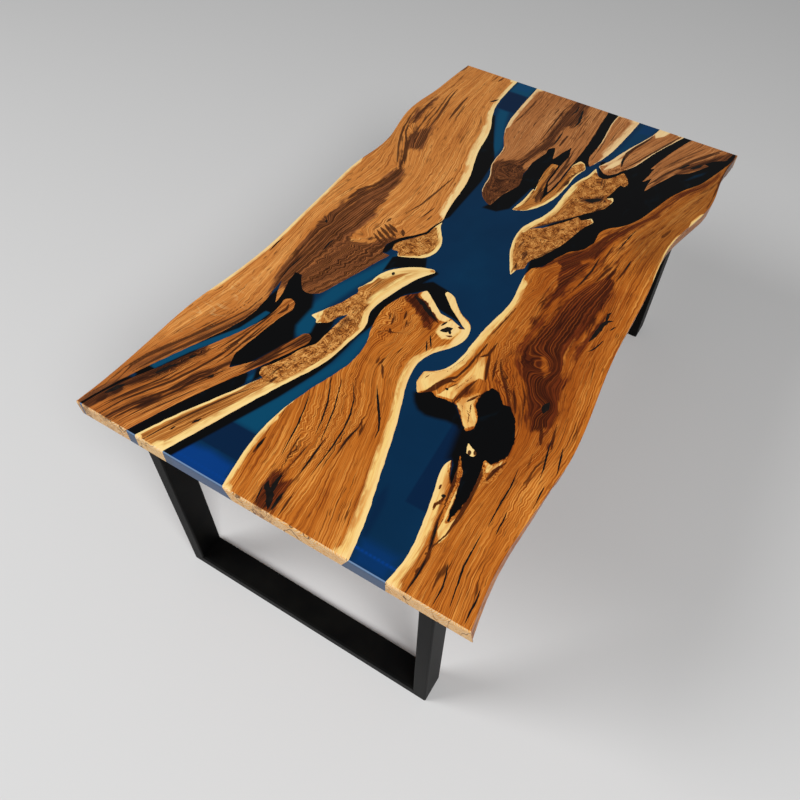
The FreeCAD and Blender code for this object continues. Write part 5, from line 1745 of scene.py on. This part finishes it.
def resinMaterial():
    # layers over the deep blue: painted light as teal and as brighter and glowing strips, painted reflection
    # and shade as navy, painted shade as black, then mist and the dull sawn ends with a painted highlight
    # along their top edge
    material, tree, shader = newMaterial("riverResin")
    plus, times, scaled, swung, ramp, mix = toolsFor(tree)
    place = objectPlace(tree)
    # the depth attribute holds painted light and shade: teal and bright are painted light, black is painted
    # shade
    _, (teal, shadeBlack, paintedLight) = attribute(tree, "depth")
    # side: sawn ends, the painted navy reflection and shade, and depth below the top
    _, (ended, shadeAndReflection, below) = attribute(tree, "side")
    slow = cloud(tree, place, riverResin["cloudScale"], 3)
    mist = cloud(tree, stretched(tree, place, riverResin["mistScale"]), 1, 3, 0.6)
    clouds = swung(slow, riverResin["clouds"])
    driven = {"teal": plus(teal, clouds), "paintedLight": plus(paintedLight, times(clouds, resinShares["paintedLightClouds"])),
              "paintedGlow": paintedLight, "shadeAndReflection": shadeAndReflection, "shadeBlack": plus(shadeBlack, times(clouds, resinShares["shadeClouds"])),
              "mist": mist}
    color = mix(ramp(slow, *resinRamps["blue"]), riverResin["deep"], riverResin["blue"])
    for name, value in driven.items():
        color = mix(ramp(value, *resinRamps[name]), color, riverResin[name])
    color = mix(times(ended, resinShares["sawn"]), color, riverResin["sawn"])
    # painted highlight: a lighter blue line along the top edge of the casting's sawn ends
    rim = times(ended, ramp(below, *resinRamps["rim"]))
    color = mix(times(rim, resinShares["sawnRimHighlight"]), color, riverResin["sawnRimHighlight"])
    feed(tree, shader, {"Base Color": color, "Specular IOR Level": riverResin["gloss"],
                        "Roughness": scaled(ended, riverResin["sawnRough"], riverResin["smooth"])})
    return material


# plain finishes: two colours and two roughnesses, each mixed by noise of a scale and detail
crackFill = {"low": (0.003, 0.0018, 0.0014, 1), "high": (0.008, 0.004, 0.002, 1), "colouring": (60, 2),
             "limits": (0.4, 0.75), "roughening": (60, 2), "roughness": (0.16, 0.3)}
powderCoat = {"low": (0.0020, 0.0020, 0.0021, 1), "high": (0.0042, 0.0041, 0.0036, 1), "colouring": (9, 3),
              "limits": (0.35, 0.7), "roughening": (900, 2), "roughness": (0.42, 0.56),
              "sockets": {"Specular IOR Level": 0.05}, "bump": (0.35, 0.0003)}   # fine orange peel
insertBrass = {"low": (0.52, 0.36, 0.13, 1), "high": (0.68, 0.49, 0.19, 1), "colouring": (420, 3),
               "limits": (0.3, 0.7), "roughening": (420, 3), "roughness": (0.26, 0.40),
               "sockets": {"Metallic": 1}}
zincPlate = {"low": (0.42, 0.43, 0.44, 1), "high": (0.60, 0.60, 0.60, 1), "colouring": (420, 3),
             "limits": (0.3, 0.7), "roughening": (420, 3), "roughness": (0.28, 0.42),
             "sockets": {"Metallic": 1}}
roughLimits = (0.3, 0.7)


def mottledMaterial(name, finish):
    material, tree, shader = newMaterial(name)
    ramp, mix = toolsFor(tree)[-2:]
    place = objectPlace(tree)
    colouring, roughening = [cloud(tree, place, *finish[key]) for key in ("colouring", "roughening")]
    feed(tree, shader, finish.get("sockets", {}))
    feed(tree, shader, {"Base Color": mix(ramp(colouring, *finish["limits"]), finish["low"], finish["high"]),
                        "Roughness": ramp(roughening, *roughLimits, *finish["roughness"])})
    if "bump" in finish:
        bumped(tree, shader, roughening, *finish["bump"])
    return material


casting = resinMaterial()
cracksFilled = mottledMaterial("crackFill", crackFill)
coat = mottledMaterial("powderCoat", powderCoat)
brass = mottledMaterial("insertBrass", insertBrass)
zinc = mottledMaterial("zincPlate", zincPlate)
print("resin and metal materials ready")


def seat(piece, nodeName):
    # a new piece rides on the table's one body and stands for its CAD node
    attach(piece, "root")
    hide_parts(nodeName)


# boards and casting
castStep = 0.002
castLines = [np.linspace(a[1], b[1], 2 + int(math.dist(a[1], b[1]) / castStep))
             for a, b in rimEdges(resinName, tabletop["top"])]
resinTree = nearestTree(np.vstack(castLines))
rims = [naturalRim(drawing["node"], resinTree) for drawing in boards]
settle(rims)
for drawing, rim in zip(boards, rims):
    slivers = [taper(line, width) for line, width in drawing.get("cracks", [])]
    verts, faces, kinds = closedBoard(rim, slivers, drawing.get("step", tabletop["step"]))
    finishes = [woods[drawing["finish"]], cracksFilled]
    piece = buildPiece(drawing["node"] + "_wood", verts, faces, kinds, finishes)
    for name, vectors in figureOf(verts, drawing, rim).items():
        store(piece, name, vectors)
    seat(piece, drawing["node"])
    print("board", drawing["node"], len(verts), "points")

verts, faces = closedResin(rims, [wallRows(rim) for rim in rims])
piece = buildPiece("river_casting", verts, faces, [0] * len(faces), [casting])
for name, vectors in castingFigure(verts).items():
    store(piece, name, vectors)
seat(piece, resinName)
print("casting", len(verts), "points")

# the steel and the inserts keep their CAD shapes
steelParts = [f"{end}_{part}" for end in ("near", "far")
              for part in ("back_post", "front_post", "floor_rail", "top_bar")]
for nodeName in steelParts + ["leg_inserts"]:
    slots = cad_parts[nodeName].data.materials
    slots.clear()
    slots.append(coat if nodeName in steelParts else brass)
print("steel and inserts finished")

# hexagon bolts: corners of the head turned off, a washer face under it and a pointed shank, in metres
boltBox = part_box("leg_bolts")
legBolt = {
    "low": boltBox[0].z, "bar": legBar[0].z, "high": boltBox[1].z, "corner": 0.013 / math.sqrt(3),
    "face": 0.0062, "slope": math.radians(30), "over": 0.001, "washer": 0.0060, "washerHeight": 0.0004,
    "shank": 0.004, "point": 0.0008, "sunk": 0.0002, "pointSunk": 0.0001, "headSides": 6, "sides": 40,
}


def turned(radius, low, high, sides, topRadius=None):
    deselectAll()
    top = radius if topRadius is None else topRadius
    bpy.ops.mesh.primitive_cone_add(vertices=sides, radius1=radius, radius2=top, depth=high - low,
                                    location=(0, 0, (low + high) / 2))
    return bpy.context.object


def applyPlace():
    bpy.ops.object.transform_apply(location=True, rotation=True, scale=True)


def turnAbout(angle):
    bpy.ops.transform.rotate(value=angle, orient_axis="Z", center_override=(0, 0, 0))
    applyPlace()


def remove(piece):
    choose(piece)
    bpy.ops.object.delete()


def modelBolt():
    low, bar, high, sides = [legBolt[key] for key in ("low", "bar", "high", "sides")]
    washerFace = bar - legBolt["washerHeight"]
    over = washerFace + legBolt["over"]
    head = turned(legBolt["corner"], low, washerFace, legBolt["headSides"])
    turnAbout(math.pi / 2)
    wide = legBolt["face"] + (over - low) / math.tan(legBolt["slope"])
    cutter = turned(legBolt["face"], low, over, sides, wide)
    turnAbout(math.pi / sides)   # so that no corner of the cutter meets a corner of the head
    choose(head)
    bpy.ops.object.modifier_add(type="BOOLEAN")
    head.modifiers[0].operation = "INTERSECT"
    head.modifiers[0].object = cutter
    bpy.ops.object.modifier_apply(modifier=head.modifiers[0].name)
    remove(cutter)
    neck, shank = high - legBolt["point"], legBolt["shank"]
    pieces = [turned(legBolt["washer"], washerFace - legBolt["sunk"], bar, sides),
              turned(shank, bar - legBolt["sunk"], neck, sides),
              turned(shank, neck - legBolt["pointSunk"], high, sides, shank - legBolt["point"])]
    choose(head)
    for piece in pieces:
        piece.select_set(True)
    bpy.ops.object.join()
    applyPlace()
    bpy.ops.object.shade_smooth_by_angle(angle=smoothAngles["bolt"])
    head.data.materials.append(zinc)
    return head


bolt = modelBolt()
for number, centre in enumerate(centresOf("leg_bolts")):
    choose(bolt)
    bpy.ops.object.duplicate(linked=False)
    piece = bpy.context.object
    piece.name = f"leg_bolt_{number + 1}"
    bpy.ops.transform.translate(value=(centre[0], centre[1], 0))
    applyPlace()
    seat(piece, "leg_bolts")
remove(bolt)
print("bolts ready")

# floor, light and camera
studio = {"floorSize": 40, "floor": (0.66, 0.66, 0.66, 1), "floorRoughness": 0.9, "floorGloss": 0.1,
          "sky": (1, 1, 1, 1), "skyStrength": 0.15, "lampSize": 3.6, "aim": (0, 0, 0.6)}
lamps = {"keyLamp": {"place": (-3.6, -4.2, 6.6), "power": 470},
         "fillLamp": {"place": (-3.6, 4.6, 5.8), "power": 330}}
photoView = {"lens": 35.315, "sensor": 36, "clip": 100, "place": (-1.3737, -0.6625, 2.1807),
             "right": (0.5240, -0.8517, 0.0095), "forward": (0.5128, 0.3065, -0.8020)}
deselectAll()
bpy.ops.mesh.primitive_plane_add(size=studio["floorSize"])
floor = bpy.context.object
floor.name = "studio_floor"
material, tree, shader = newMaterial("studioFloor")
feed(tree, shader, {"Base Color": studio["floor"], "Roughness": studio["floorRoughness"],
                    "Specular IOR Level": studio["floorGloss"]})
floor.data.materials.append(material)
world = bpy.data.worlds.new("studioWorld")
world.use_nodes = True
sky = world.node_tree.nodes["Background"]
feed(world.node_tree, sky, {"Color": studio["sky"], "Strength": studio["skyStrength"]})
bpy.context.scene.world = world
for name, lamp in lamps.items():
    light = bpy.data.lights.new(name, "AREA")
    light.shape = "DISK"
    light.size = studio["lampSize"]
    light.energy = lamp["power"]
    holder = bpy.data.objects.new(name, light)
    holder.location = lamp["place"]
    ray = Vector(studio["aim"]) - Vector(lamp["place"])
    holder.rotation_euler = ray.to_track_quat("-Z", "Y").to_euler()
    bpy.context.scene.collection.objects.link(holder)

lens = bpy.data.cameras.new("photoCamera")
lens.lens = photoView["lens"]
lens.sensor_width = photoView["sensor"]
lens.clip_end = photoView["clip"]
camera = bpy.data.objects.new("photoCamera", lens)
right = Vector(photoView["right"]).normalized()
forward = Vector(photoView["forward"]).normalized()
turn = Matrix((right, right.cross(forward), -forward)).transposed().to_quaternion()
camera.matrix_world = Matrix.LocRotScale(Vector(photoView["place"]), turn, None)
bpy.context.scene.collection.objects.link(camera)
bpy.context.scene.camera = camera
bpy.context.scene.view_settings.view_transform = "Standard"
print("floor, light and camera ready")

print("scene ready")
